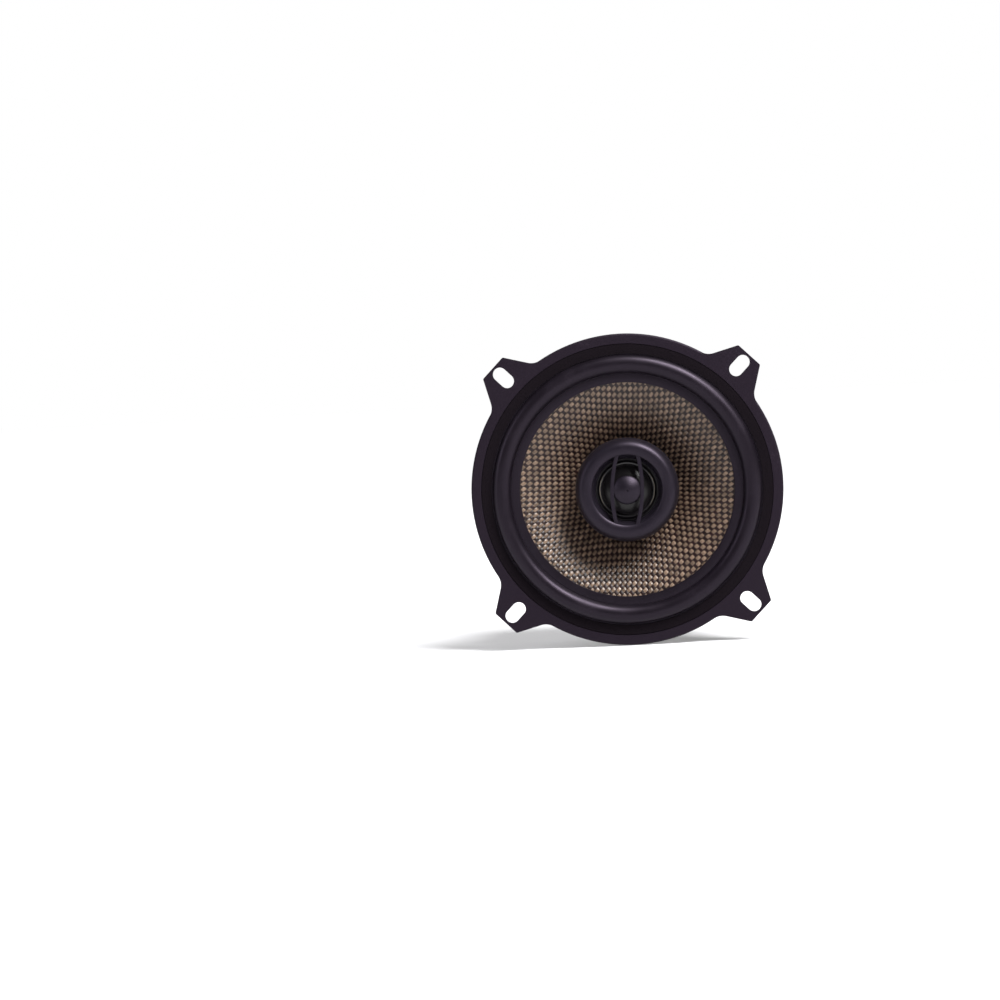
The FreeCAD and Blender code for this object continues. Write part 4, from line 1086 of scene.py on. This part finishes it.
class Wardrobe:
    """Builds each finish once and puts it on pieces and CAD nodes."""

    def __init__(self, nodes: dict[str, Object]) -> None:
        """Keep the CAD nodes.

        Args:
            nodes: The CAD nodes by name.
        """
        self.nodes = nodes
        self.finishes = Finishes()
        self._made: dict[str, Material] = {}

    def material(self, finish: Finish) -> Material:
        """Give a finish's material, building it the first time.

        Args:
            finish: The finish.

        Returns:
            Its material.
        """
        if finish.name not in self._made:
            self._made[finish.name] = finish.material()
        return self._made[finish.name]

    def dress(self, piece: Object, finish: Finish) -> None:
        """Give a piece one material."""
        piece.data.materials.clear()
        piece.data.materials.append(self.material(finish))

    def dress_nodes(self, finish: Finish, *names: str) -> None:
        """Give several CAD nodes one material.

        Args:
            finish: The finish.
            names: The nodes' names.
        """
        for name in names:
            self.dress(self.nodes[name], finish)
            LOG.info("dressed %s in %s", name, finish.name)

    def put_on(self, piece: Object, finish: Finish, slot: str, *nodes: str) -> Object:
        """Dress a new piece and hide the CAD nodes that it stands for.

        Args:
            piece: The new piece.
            finish: Its finish.
            slot: Not used.
            nodes: The CAD nodes that it replaces.

        Returns:
            The piece.
        """
        self.dress(piece, finish)
        if nodes:
            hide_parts(*nodes)
        LOG.info("made %s, %d faces", piece.name, len(piece.data.polygons))
        return piece


# ---------------------------------------------------------------------------------------------------------
# Sub-assemblies
# ---------------------------------------------------------------------------------------------------------


@dataclass
class SubAssembly(ABC):
    """A group of pieces that is built and dressed together."""

    wardrobe: Wardrobe

    @abstractmethod
    def build(self) -> None:
        """Make the new pieces and dress the CAD nodes."""


@dataclass
class Basket(SubAssembly):
    """The cast basket, with its powder coat, and the gasket on the surround's rim."""

    def build(self) -> None:
        """Dress the basket and its gasket."""
        self.wardrobe.dress_nodes(self.wardrobe.finishes.coat, "basket")
        self.wardrobe.dress_nodes(self.wardrobe.finishes.foam, "front_gasket")


@dataclass
class Cone(SubAssembly):
    """The woven cone and what is glued to its neck."""

    bend: float = 45.4
    depth: float = 20.0
    bulge: float = 1.6
    thickness: float = 0.7
    rings: int = 80
    lip_rings: int = 4
    segments: int = 560
    weave: Weave = field(default_factory=Weave)
    weave_edge: float = 44.9
    weave_start: float = 0.3
    weave_fade: float = 0.5

    def shell(self) -> Object:
        """Make the cone.

        Its front runs from the lip over an arc to the neck, and its back is the same line moved back by the
        thickness. Each point then moves out from the middle of the wall by the height of the weave there,
        which fades out just before the lip and the neck.

        Returns:
            The cone.
        """
        low, high = millimetres("cone")
        neck = millimetres("voice_coil_former")[1].x
        lip_across = np.linspace(high.x, self.bend, self.lip_rings, endpoint=False)
        lip = np.stack([lip_across, np.full(self.lip_rings, low.y)], -1)
        flare = bow((self.bend, low.y), (neck, low.y + self.depth), self.bulge, self.rings)
        front = np.concatenate([lip, flare])
        back = front + [0.0, self.thickness]
        outline = np.concatenate([front, back[::-1]])
        side = np.concatenate([-np.ones(len(front)), np.ones(len(front))])
        slope = np.gradient(front, axis=0)
        normal = np.stack([-slope[:, 1], slope[:, 0]], -1)
        normal /= np.linalg.norm(normal, axis=1, keepdims=True)
        normal *= np.sign(normal[:, 1:])
        normal = np.concatenate([normal, normal[::-1]])
        angle = full_turn(self.segments)
        across, along = outline[:, 0], outline[:, 1]
        fade = np.clip((self.weave_edge - across) / self.weave_fade, 0.0, 1.0)
        fade *= np.clip((across - neck - self.weave_start) / self.weave_fade, 0.0, 1.0)
        lift = self.weave.heights(across * np.cos(angle), across * np.sin(angle)) * fade * side
        points = around(across + lift * normal[:, 0], along + lift * normal[:, 1], angle)
        return surface("woven_cone_shell", points, 60.0)

    def build(self) -> None:
        """Make the cone and dress the coil, the glue ring and the dust seal."""
        finishes = self.wardrobe.finishes
        shell = self.wardrobe.put_on(self.shell(), finishes.fibre, "woven_cone", "cone")
        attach(shell, Body.WOOFER.value)
        self.wardrobe.dress_nodes(finishes.former, "voice_coil_former")
        self.wardrobe.dress_nodes(finishes.winding, "voice_coil_winding")
        self.wardrobe.dress_nodes(finishes.glue, "neck_ring")
        self.wardrobe.dress_nodes(finishes.felt, "dust_seal")


@dataclass
class Suspension(SubAssembly):
    """The rubber surround in front and the corrugated spider behind."""

    rubber: float = 0.6
    roll_outer: float = 56.6
    roll_inner: float = 48.8
    lip: float = 45.0
    spider_thickness: float = 0.5
    wave_outer: float = 37.6
    wave_inner: float = 15.2
    half_waves: int = 8

    def surround(self) -> Object:
        """Make the surround: a flat rim, a half roll along an ellipse and a flat lip, as one closed wall.

        A point of the roll at angle a from its outer foot lies at the roll's middle + half its width * cos a
        across, and its height * sin a in front of the rim.

        Returns:
            The surround.
        """
        low, high = millimetres("surround")
        face, ledge = high.y - self.rubber, high.y
        middle, half = (self.roll_outer + self.roll_inner) / 2, (self.roll_outer - self.roll_inner) / 2
        angle = np.linspace(0.0, math.pi, 41)
        crown = face - low.y
        wall = self.rubber
        front_roll, back_roll = (
            np.stack([middle + (half - inset) * np.cos(angle), face - (crown - inset) * np.sin(angle)], -1)
            for inset in (0.0, wall)
        )
        rim = [(high.x, ledge), (high.x, face + 0.12), (high.x - 0.12, face), (self.roll_outer + 0.6, face)]
        lip_front = [(self.roll_inner - 0.6, face), (self.lip + 0.5, face), (self.lip + 0.15, face + 0.1)]
        lip_back = [(self.lip, ledge - 0.05), (self.lip + 0.2, ledge), (self.roll_inner + wall, ledge)]
        rim_back = [(self.roll_outer - wall, ledge)]
        outline = np.concatenate([rim, front_roll, lip_front, lip_back, back_roll[::-1], rim_back])
        return turned("rubber_surround", outline, 256, 50.0)

    def spider(self) -> Object:
        """Make the spider: a flat rim, corrugations and a flat collar, as one closed wall.

        Its middle line at a distance r across stands wave height * sin(pi * n) off the flat, where n counts
        half waves in from the outer one.

        Returns:
            The spider.
        """
        low, high = millimetres("spider")
        neck = millimetres("voice_coil_former")[1].x
        flat = (low.y + high.y) / 2
        across = np.concatenate([[high.x], np.linspace(self.wave_outer, self.wave_inner, 113), [neck + 0.02]])
        width = self.wave_outer - self.wave_inner
        count = np.clip((self.wave_outer - across) * self.half_waves / width, 0, self.half_waves)
        height = (high.y - low.y - self.spider_thickness) / 2 * np.sin(math.pi * count)
        half = self.spider_thickness / 2
        front = np.stack([across, flat + height - half], -1)
        back = np.stack([across, flat + height + half], -1)
        return turned("corrugated_spider", np.concatenate([front, back[::-1]]), 192, 50.0)

    def build(self) -> None:
        """Make both rings and dress them."""
        finishes = self.wardrobe.finishes
        surround = self.wardrobe.put_on(self.surround(), finishes.rubber, "surround_rubber", "surround")
        follow_both(surround)
        spider = self.wardrobe.put_on(self.spider(), finishes.cloth, "spider_cloth", "spider")
        follow_both(spider)


@dataclass
class Motor(SubAssembly):
    """Plates, magnet and yoke, the rubber boot round them and the spun cap behind."""

    sleeve_inner: float = 40.2
    sleeve_outer: float = 43.4
    lug_reach: float = 45.6
    lug_half_angle: float = 24.0
    lug_edge_angle: float = 0.9
    lug_hook: float = 38.0
    lug_count: int = 4
    cap_line: float = 36.2
    cap_ripple: float = 0.9
    cap_ripple_height: float = 0.012

    def boot(self) -> Object:
        """Make the rubber boot, a sleeve with four lugs that hook over the cap.

        Two outlines with the same corners are rounded alike, one of the plain sleeve and one of a lug. The
        outline at an angle is their mix, whose share is a smooth step at each side of each lug.

        Returns:
            The boot.
        """
        low, high = millimetres("rubber_boot")
        foot, crest = low.y, high.y
        rim = millimetres("yoke")[1].y + 0.35
        under = millimetres("rear_cap")[1].y + 0.15
        inner, outer, reach, hook = self.sleeve_inner, self.sleeve_outer, self.lug_reach, self.lug_hook
        sleeve = rounded([
            (inner, foot, 0.05), (outer - 0.6, foot, 0.3), (outer, foot + 0.8, 0.4), (outer, foot + 2.0, 0.2),
            (outer, rim - 1.2, 0.2), (outer, rim - 0.5, 0.4), (outer - 0.6, rim, 0.4),
            (inner + 1.2, rim, 0.1), (inner + 0.5, rim, 0.1), (inner, rim - 0.05, 0.05),
        ])
        lug = rounded([
            (inner, foot, 0.05), (outer - 0.6, foot, 0.3), (outer, foot + 0.8, 0.4), (reach, foot + 3.6, 0.9),
            (reach, crest - 4.7, 0.8), (reach - 2.5, crest - 2.4, 0.6), (hook + 1.5, crest, 0.5),
            (hook, crest - 0.35, 0.25), (hook, under, 0.2), (inner, under, 0.05),
        ])
        edge, half = self.lug_edge_angle, self.lug_half_angle
        between = 180.0 / self.lug_count
        stops = [-between, -half - edge, -half + edge, half - edge, half + edge, between]
        steps = np.concatenate([
            np.linspace(start, end, count, endpoint=False)
            for start, end, count in zip(stops, stops[1:], (14, 9, 40, 9, 14))
        ])
        share = np.clip((half + edge - np.abs(steps)) / (2 * edge), 0.0, 1.0)
        share = np.tile(share**2 * (3 - 2 * share), self.lug_count)[:, None, None]
        turns = np.arange(self.lug_count)[:, None] * 360.0 / self.lug_count
        angle = np.radians((turns + steps[None]).ravel())[:, None]
        outline = sleeve[None] * (1 - share) + lug[None] * share
        return surface("magnet_boot", around(outline[..., 0], outline[..., 1], angle), 42.0)

    def cap(self) -> Object:
        """Make the spun cap: a flat disc with turning marks, a groove near its edge and a rolled rim.

        The face stands ripple height * sin(2 pi * across / ripple) proud, less a narrow groove whose depth is
        0.12 exp(-(distance from the line / 0.35)^2).

        Returns:
            The cap.
        """
        low, high = millimetres("rear_cap")
        edge, base, rim = high.x, low.y, high.y
        face = rim - 0.3
        across = np.linspace(edge - 1.5, 0.6, 230)
        ripple = self.cap_ripple_height * np.sin(2 * math.pi * across / self.cap_ripple)
        groove = 0.12 * np.exp(-(((across - self.cap_line) / 0.35) ** 2))
        disc = np.stack([across, face - 0.02 + ripple - groove], -1)
        corners = [(edge, base, 0.02), (edge, rim, 0.22), (edge - 0.8, rim, 0.2), (edge - 1.2, face, 0.15)]
        border = rounded(corners, 5)
        outline = np.concatenate([[(0.0, base)], border, disc, [(0.0, face - 0.03)]])
        return turned("spun_cap", outline, 256, 50.0)

    def build(self) -> None:
        """Make the boot and the cap, and dress the motor inside them."""
        finishes = self.wardrobe.finishes
        boot = self.wardrobe.put_on(self.boot(), finishes.boot, "boot_rubber", "rubber_boot")
        cap = self.wardrobe.put_on(self.cap(), finishes.spun, "spun_aluminium", "rear_cap")
        for piece in (boot, cap):
            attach(piece, Body.FRAME.value)
        steel_nodes = "top_plate", "yoke", "plate_rivets", "post_nut", "tweeter_post"
        self.wardrobe.dress_nodes(finishes.steel, *steel_nodes)
        self.wardrobe.dress_nodes(finishes.ferrite, "ferrite_magnet")


@dataclass
class Tweeter(SubAssembly):
    """The tweeter: a rounded bezel with a guard, and a small dome behind them."""

    crest: float = 17.4
    opening: float = 14.6
    squareness: float = 0.88
    ring_foot: float = -0.6
    lip_depth: float = -6.7
    throat: float = 13.3
    plug_radius: float = 6.05
    plug_back: float = -6.0
    plug_step: float = 0.9
    plug_crown: float = 2.4
    dot: float = 0.5
    bar_width: float = 1.6
    bar_depth: float = 1.4
    bar_offset: float = 4.1
    bar_bow: float = 2.2
    bar_half_length: float = 15.4
    coil: float = 10.2
    dome_height: float = 3.0
    film: float = 0.25
    roll_outer: float = 12.3
    roll_height: float = 0.75

    def ring(self) -> Object:
        """Make the rounded ring, hollow behind to take the housing's rim.

        Its face is a quarter of a superellipse each way from the crest: at an angle a it lies at the crest
        plus or minus the half width * cos(a)^p across, and the rise * sin(a)^p in front of that side's foot.

        Returns:
            The ring.
        """
        low, high = millimetres("tweeter_bezel")
        seat = millimetres("tweeter_housing")
        outer, front, crest = high.x, low.y, self.crest
        angle = np.linspace(0.0, math.pi / 2, 30)
        power = self.squareness
        rise = self.ring_foot - front
        outside = np.stack([crest + (outer - crest) * np.cos(angle) ** power,
                            self.ring_foot - rise * np.sin(angle) ** power], -1)
        drop = self.lip_depth - front
        fall = np.linspace(math.pi / 2, 0.0, 22)[1:]
        inside = np.stack([crest - (crest - self.opening) * np.cos(fall) ** power,
                           self.lip_depth - drop * np.sin(fall) ** power], -1)
        throat = millimetres("tweeter_surround")[0].y - 0.2
        back = rounded([
            (self.throat, self.lip_depth + 1.6, 0.4), (self.throat, throat, 0.1),
            (self.throat, seat[0].y, 0.1), (seat[1].x - 0.02, seat[0].y, 0.05),
            (seat[1].x - 0.02, high.y, 0.05), (outer, high.y, 0.3),
        ], 5)
        return turned("tweeter_ring", np.concatenate([outside, inside, back]), 192, 50.0)

    def plug(self) -> Object:
        """Make the plug: a crowned disc with a dot sunk in its middle, rounded at its edge.

        Its face stands crown * (1 - (across / radius)^2) in front of its edge.

        Returns:
            The plug.
        """
        across = np.linspace(self.plug_radius - 0.45, self.dot + 0.12, 26)
        edge = self.plug_back - self.plug_step
        crown = edge - self.plug_crown * (1 - (across / self.plug_radius) ** 2)
        face = np.stack([across, crown], -1)
        shoulder = rounded([(self.plug_radius, self.plug_back, 0.1), (self.plug_radius, edge - 0.1, 0.5)], 6)
        deep = crown[-1] + 0.4
        dot = [(self.dot, crown[-1] + 0.06), (self.dot - 0.05, deep), (0.0, deep)]
        outline = np.concatenate([[(0.0, self.plug_back)], shoulder, face, dot])
        return turned("guard_plug", outline, 96, 50.0)

    def bar(self, name: str, side: float) -> Object:
        """Make one bar of the guard, a rounded section along a parabola that bows outwards.

        Args:
            name: The bar's name.
            side: 1 for the bar towards +X and -1 for the other.

        Returns:
            The bar.
        """
        share = np.linspace(-1.0, 1.0, 41)
        sideways = side * (self.bar_offset + self.bar_bow * (1 - share**2))
        upwards = share * self.bar_half_length
        along = np.full_like(share, self.plug_back - self.bar_depth / 2)
        sideways, upwards = leaned(sideways, upwards, -ROLL)
        path = np.stack([sideways, along, upwards], -1)
        half_width, half_depth = self.bar_width / 2, self.bar_depth / 2
        section = rounded([
            (half_width, half_depth, 0.2), (-half_width, half_depth, 0.2),
            (-half_width, -half_depth, 0.5), (half_width, -half_depth, 0.5),
        ], 5)
        return swept(name, path, section, Vector((1, 0, 0)))

    def dome(self) -> Object:
        """Make the dome, two spherical caps of the same height joined at the coil.

        The cap over a radius c with height h stands sqrt(s^2 - across^2) - (s - h), with its sphere's radius
        s = (c^2 + h^2) / 2h.

        Returns:
            The dome.
        """
        rim = millimetres("tweeter_dome")[1].y
        inner = self.coil - 2 * self.film
        layers = []
        for radius, base in ((self.coil, rim - self.film), (inner, rim)):
            sphere = (radius**2 + self.dome_height**2) / (2 * self.dome_height)
            across = np.linspace(0.0, radius, 40)
            rise = np.sqrt(sphere**2 - across**2) - (sphere - self.dome_height)
            layers.append(np.stack([across, base - rise], -1))
        outline = np.concatenate([layers[0], [(self.coil, rim)], layers[1][::-1]])
        return turned("silk_dome", outline, 128, 50.0)

    def dome_edge(self) -> Object:
        """Make the half roll round the dome: height * sin(pi * share) between the coil and the flat rim.

        Returns:
            The roll.
        """
        high = millimetres("tweeter_surround")[1]
        rim, face = high.y, high.y - self.film
        share = np.linspace(0.0, 1.0, 25)
        across = self.coil + (self.roll_outer - self.coil) * share
        rise = self.roll_height * np.sin(math.pi * share)
        front = np.stack([across, face - rise], -1)
        back = np.stack([across[::-1], rim - rise[::-1]], -1)
        outline = np.concatenate([front, [(high.x, face), (high.x, rim)], back])
        return turned("dome_edge_ring", outline, 128, 50.0)

    def build(self) -> None:
        """Make the guard, the dome and its edge, and dress the rest."""
        finishes = self.wardrobe.finishes
        ring = self.wardrobe.put_on(self.ring(), finishes.plastic, "tweeter_plastic", "tweeter_bezel")
        plug = self.wardrobe.put_on(self.plug(), finishes.plastic, "tweeter_plastic", "tweeter_guard")
        bars = [
            self.wardrobe.put_on(self.bar("guard_bar_right", 1.0), finishes.plastic, "tweeter_plastic"),
            self.wardrobe.put_on(self.bar("guard_bar_left", -1.0), finishes.plastic, "tweeter_plastic"),
        ]
        for piece in (ring, plug, *bars):
            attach(piece, Body.FRAME.value)
        dome = self.wardrobe.put_on(self.dome(), finishes.silk, "dome_film", "tweeter_dome")
        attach(dome, Body.TWEETER.value)
        edge = self.wardrobe.put_on(self.dome_edge(), finishes.edge, "dome_film", "tweeter_surround")
        follow_both(edge)
        self.wardrobe.dress_nodes(finishes.plastic, "tweeter_housing")
        # The spacer takes the painted shade of the throat.
        self.wardrobe.dress_nodes(finishes.shade, "tweeter_spacer")
        self.wardrobe.dress_nodes(finishes.steel, "tweeter_yoke", "tweeter_pole_disc")
        self.wardrobe.dress_nodes(finishes.nickel, "tweeter_magnet")
        self.wardrobe.dress_nodes(finishes.winding, "tweeter_coil")


@dataclass
class Terminals(SubAssembly):
    """The terminal block, its spades and rivet, the capacitor and the leads."""

    leg_end: float = 44.0
    former: float = 12.65

    def build(self) -> None:
        """Dress the block and its fittings, and copy the two tinsel leads into new pieces."""
        finishes = self.wardrobe.finishes
        self.wardrobe.dress_nodes(finishes.block, "terminal_block")
        self.wardrobe.dress_nodes(finishes.brass, "positive_terminal", "negative_terminal", "terminal_rivet")
        self.wardrobe.dress_nodes(finishes.sleeve, "crossover_capacitor")
        self.wardrobe.dress_nodes(finishes.lead, "tweeter_lead")
        for side in ("positive", "negative"):
            node = f"{side}_tinsel_lead"
            lead = self.wardrobe.put_on(copy_of(node, f"{side}_tinsel"), finishes.braid, "tinsel_braid", node)
            follow_both(lead)


# ---------------------------------------------------------------------------------------------------------
# Studio
# ---------------------------------------------------------------------------------------------------------


@dataclass(frozen=True)
class SoftBox:
    """A large soft light that faces the speaker."""

    name: str
    place: tuple[float, float, float]
    width: float
    height: float
    power: float
    colour: Colour = WHITE

    def build(self) -> None:
        """Add the light, turned towards the origin."""
        light = bpy.data.lights.new(self.name, "AREA")
        light.shape = "RECTANGLE"
        light.size, light.size_y = self.width, self.height
        light.energy = self.power
        light.color = self.colour
        holder = in_scene(self.name, light)
        holder.location = self.place
        holder.rotation_euler = (-Vector(self.place)).to_track_quat("-Z", "Y").to_euler()


@dataclass
class Studio:
    """The floor, the lights, the background and the camera."""

    wardrobe: Wardrobe
    floor_half: float = 9.0
    floor_gap: float = 0.0002
    roll: float = ROLL
    lens: float = 100.0
    distance: float = 1.17
    elevation: float = 2.5
    aim: tuple[float, float, float] = (-0.0537, 0.0, -0.0018)
    background: float = 1.0
    ambient: float = 0.05
    sun_strength: float = 4.6
    sun_spread: float = 24.0
    sun_from: tuple[float, float, float] = (0.42, -0.36, 1.0)
    boxes: tuple[SoftBox, ...] = (
        SoftBox("key_box", (0.75, -0.62, 0.95), width=0.6, height=0.5, power=20.0),
        SoftBox("side_box", (-0.95, -0.30, 0.35), width=0.3, height=0.6, power=2.0, colour=(0.93, 0.90, 1.0)),
        SoftBox("rear_box", (-0.45, 1.0, 0.95), width=0.8, height=0.8, power=11.0),
        SoftBox("low_box", (0.75, 0.85, 0.25), width=0.5, height=0.6, power=4.0, colour=(1.0, 0.98, 0.96)),
    )

    def floor(self) -> None:
        """Lay the floor just under the speaker."""
        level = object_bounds()[0].z - self.floor_gap
        half = self.floor_half
        corners = [(-half, -half), (half, -half), (half, half), (-half, half)]
        mesh = bpy.data.meshes.new("studio_floor")
        mesh.from_pydata([(x, y, level) for x, y in corners], [], [(0, 1, 2, 3)])
        floor = in_scene("studio_floor", mesh)
        self.wardrobe.dress(floor, self.wardrobe.finishes.floor)
        floor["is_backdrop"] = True

    def sky(self) -> None:
        """Make the background white where the camera sees it and softer where it lights the speaker."""
        world = bpy.data.worlds.new("studio_world")
        world.use_nodes = True
        tree = world.node_tree
        tree.nodes.clear()
        seen = tree.nodes.new("ShaderNodeBackground")
        seen.inputs["Strength"].default_value = self.background
        lit = tree.nodes.new("ShaderNodeBackground")
        lit.inputs["Strength"].default_value = self.ambient
        for shader in (seen, lit):
            shader.inputs["Color"].default_value = (*WHITE, 1.0)
        path = tree.nodes.new("ShaderNodeLightPath")
        mix = tree.nodes.new("ShaderNodeMixShader")
        output = tree.nodes.new("ShaderNodeOutputWorld")
        tree.links.new(path.outputs["Is Camera Ray"], mix.inputs[0])
        tree.links.new(lit.outputs[0], mix.inputs[1])
        tree.links.new(seen.outputs[0], mix.inputs[2])
        tree.links.new(mix.outputs[0], output.inputs["Surface"])
        bpy.context.scene.world = world

    def camera(self) -> None:
        """Set the camera in front of the speaker, aimed to its left and rolled, so that the speaker leans."""
        tilt = math.radians(self.elevation)
        camera = bpy.data.cameras.new("studio_camera")
        camera.lens = self.lens
        camera.clip_end = 50.0
        holder = in_scene("studio_camera", camera)
        place = Vector((0.0, -self.distance * math.cos(tilt), self.distance * math.sin(tilt)))
        holder.location = place
        level = (Vector(self.aim) - place).to_track_quat("-Z", "Y")
        holder.rotation_euler = (level @ Quaternion((0, 0, 1), -math.radians(self.roll))).to_euler()
        bpy.context.scene.camera = holder

    def sun(self) -> None:
        """Add a broad soft light from above, even all over the floor."""
        light = bpy.data.lights.new("overhead_sun", "SUN")
        light.energy = self.sun_strength
        light.angle = math.radians(self.sun_spread)
        holder = in_scene("overhead_sun", light)
        holder.rotation_euler = (-Vector(self.sun_from)).to_track_quat("-Z", "Y").to_euler()

    def build(self) -> None:
        """Build everything round the speaker."""
        self.camera()
        self.floor()
        self.sky()
        self.sun()
        for box in self.boxes:
            box.build()
        bpy.context.scene.view_settings.view_transform = "Standard"
        LOG.info("studio ready, %d lights", len(self.boxes))


def main() -> None:
    """Build the speaker's looks and the studio round its frame."""
    logging.basicConfig(level=logging.INFO, format="%(name)s: %(message)s")
    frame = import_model()
    wardrobe = Wardrobe(frame["nodes"])
    Studio(wardrobe).build()
    for assembly in (Basket, Cone, Suspension, Motor, Tweeter, Terminals):
        LOG.info("building the %s", assembly.__name__.lower())
        assembly(wardrobe).build()


if __name__ == "__main__":
    main()
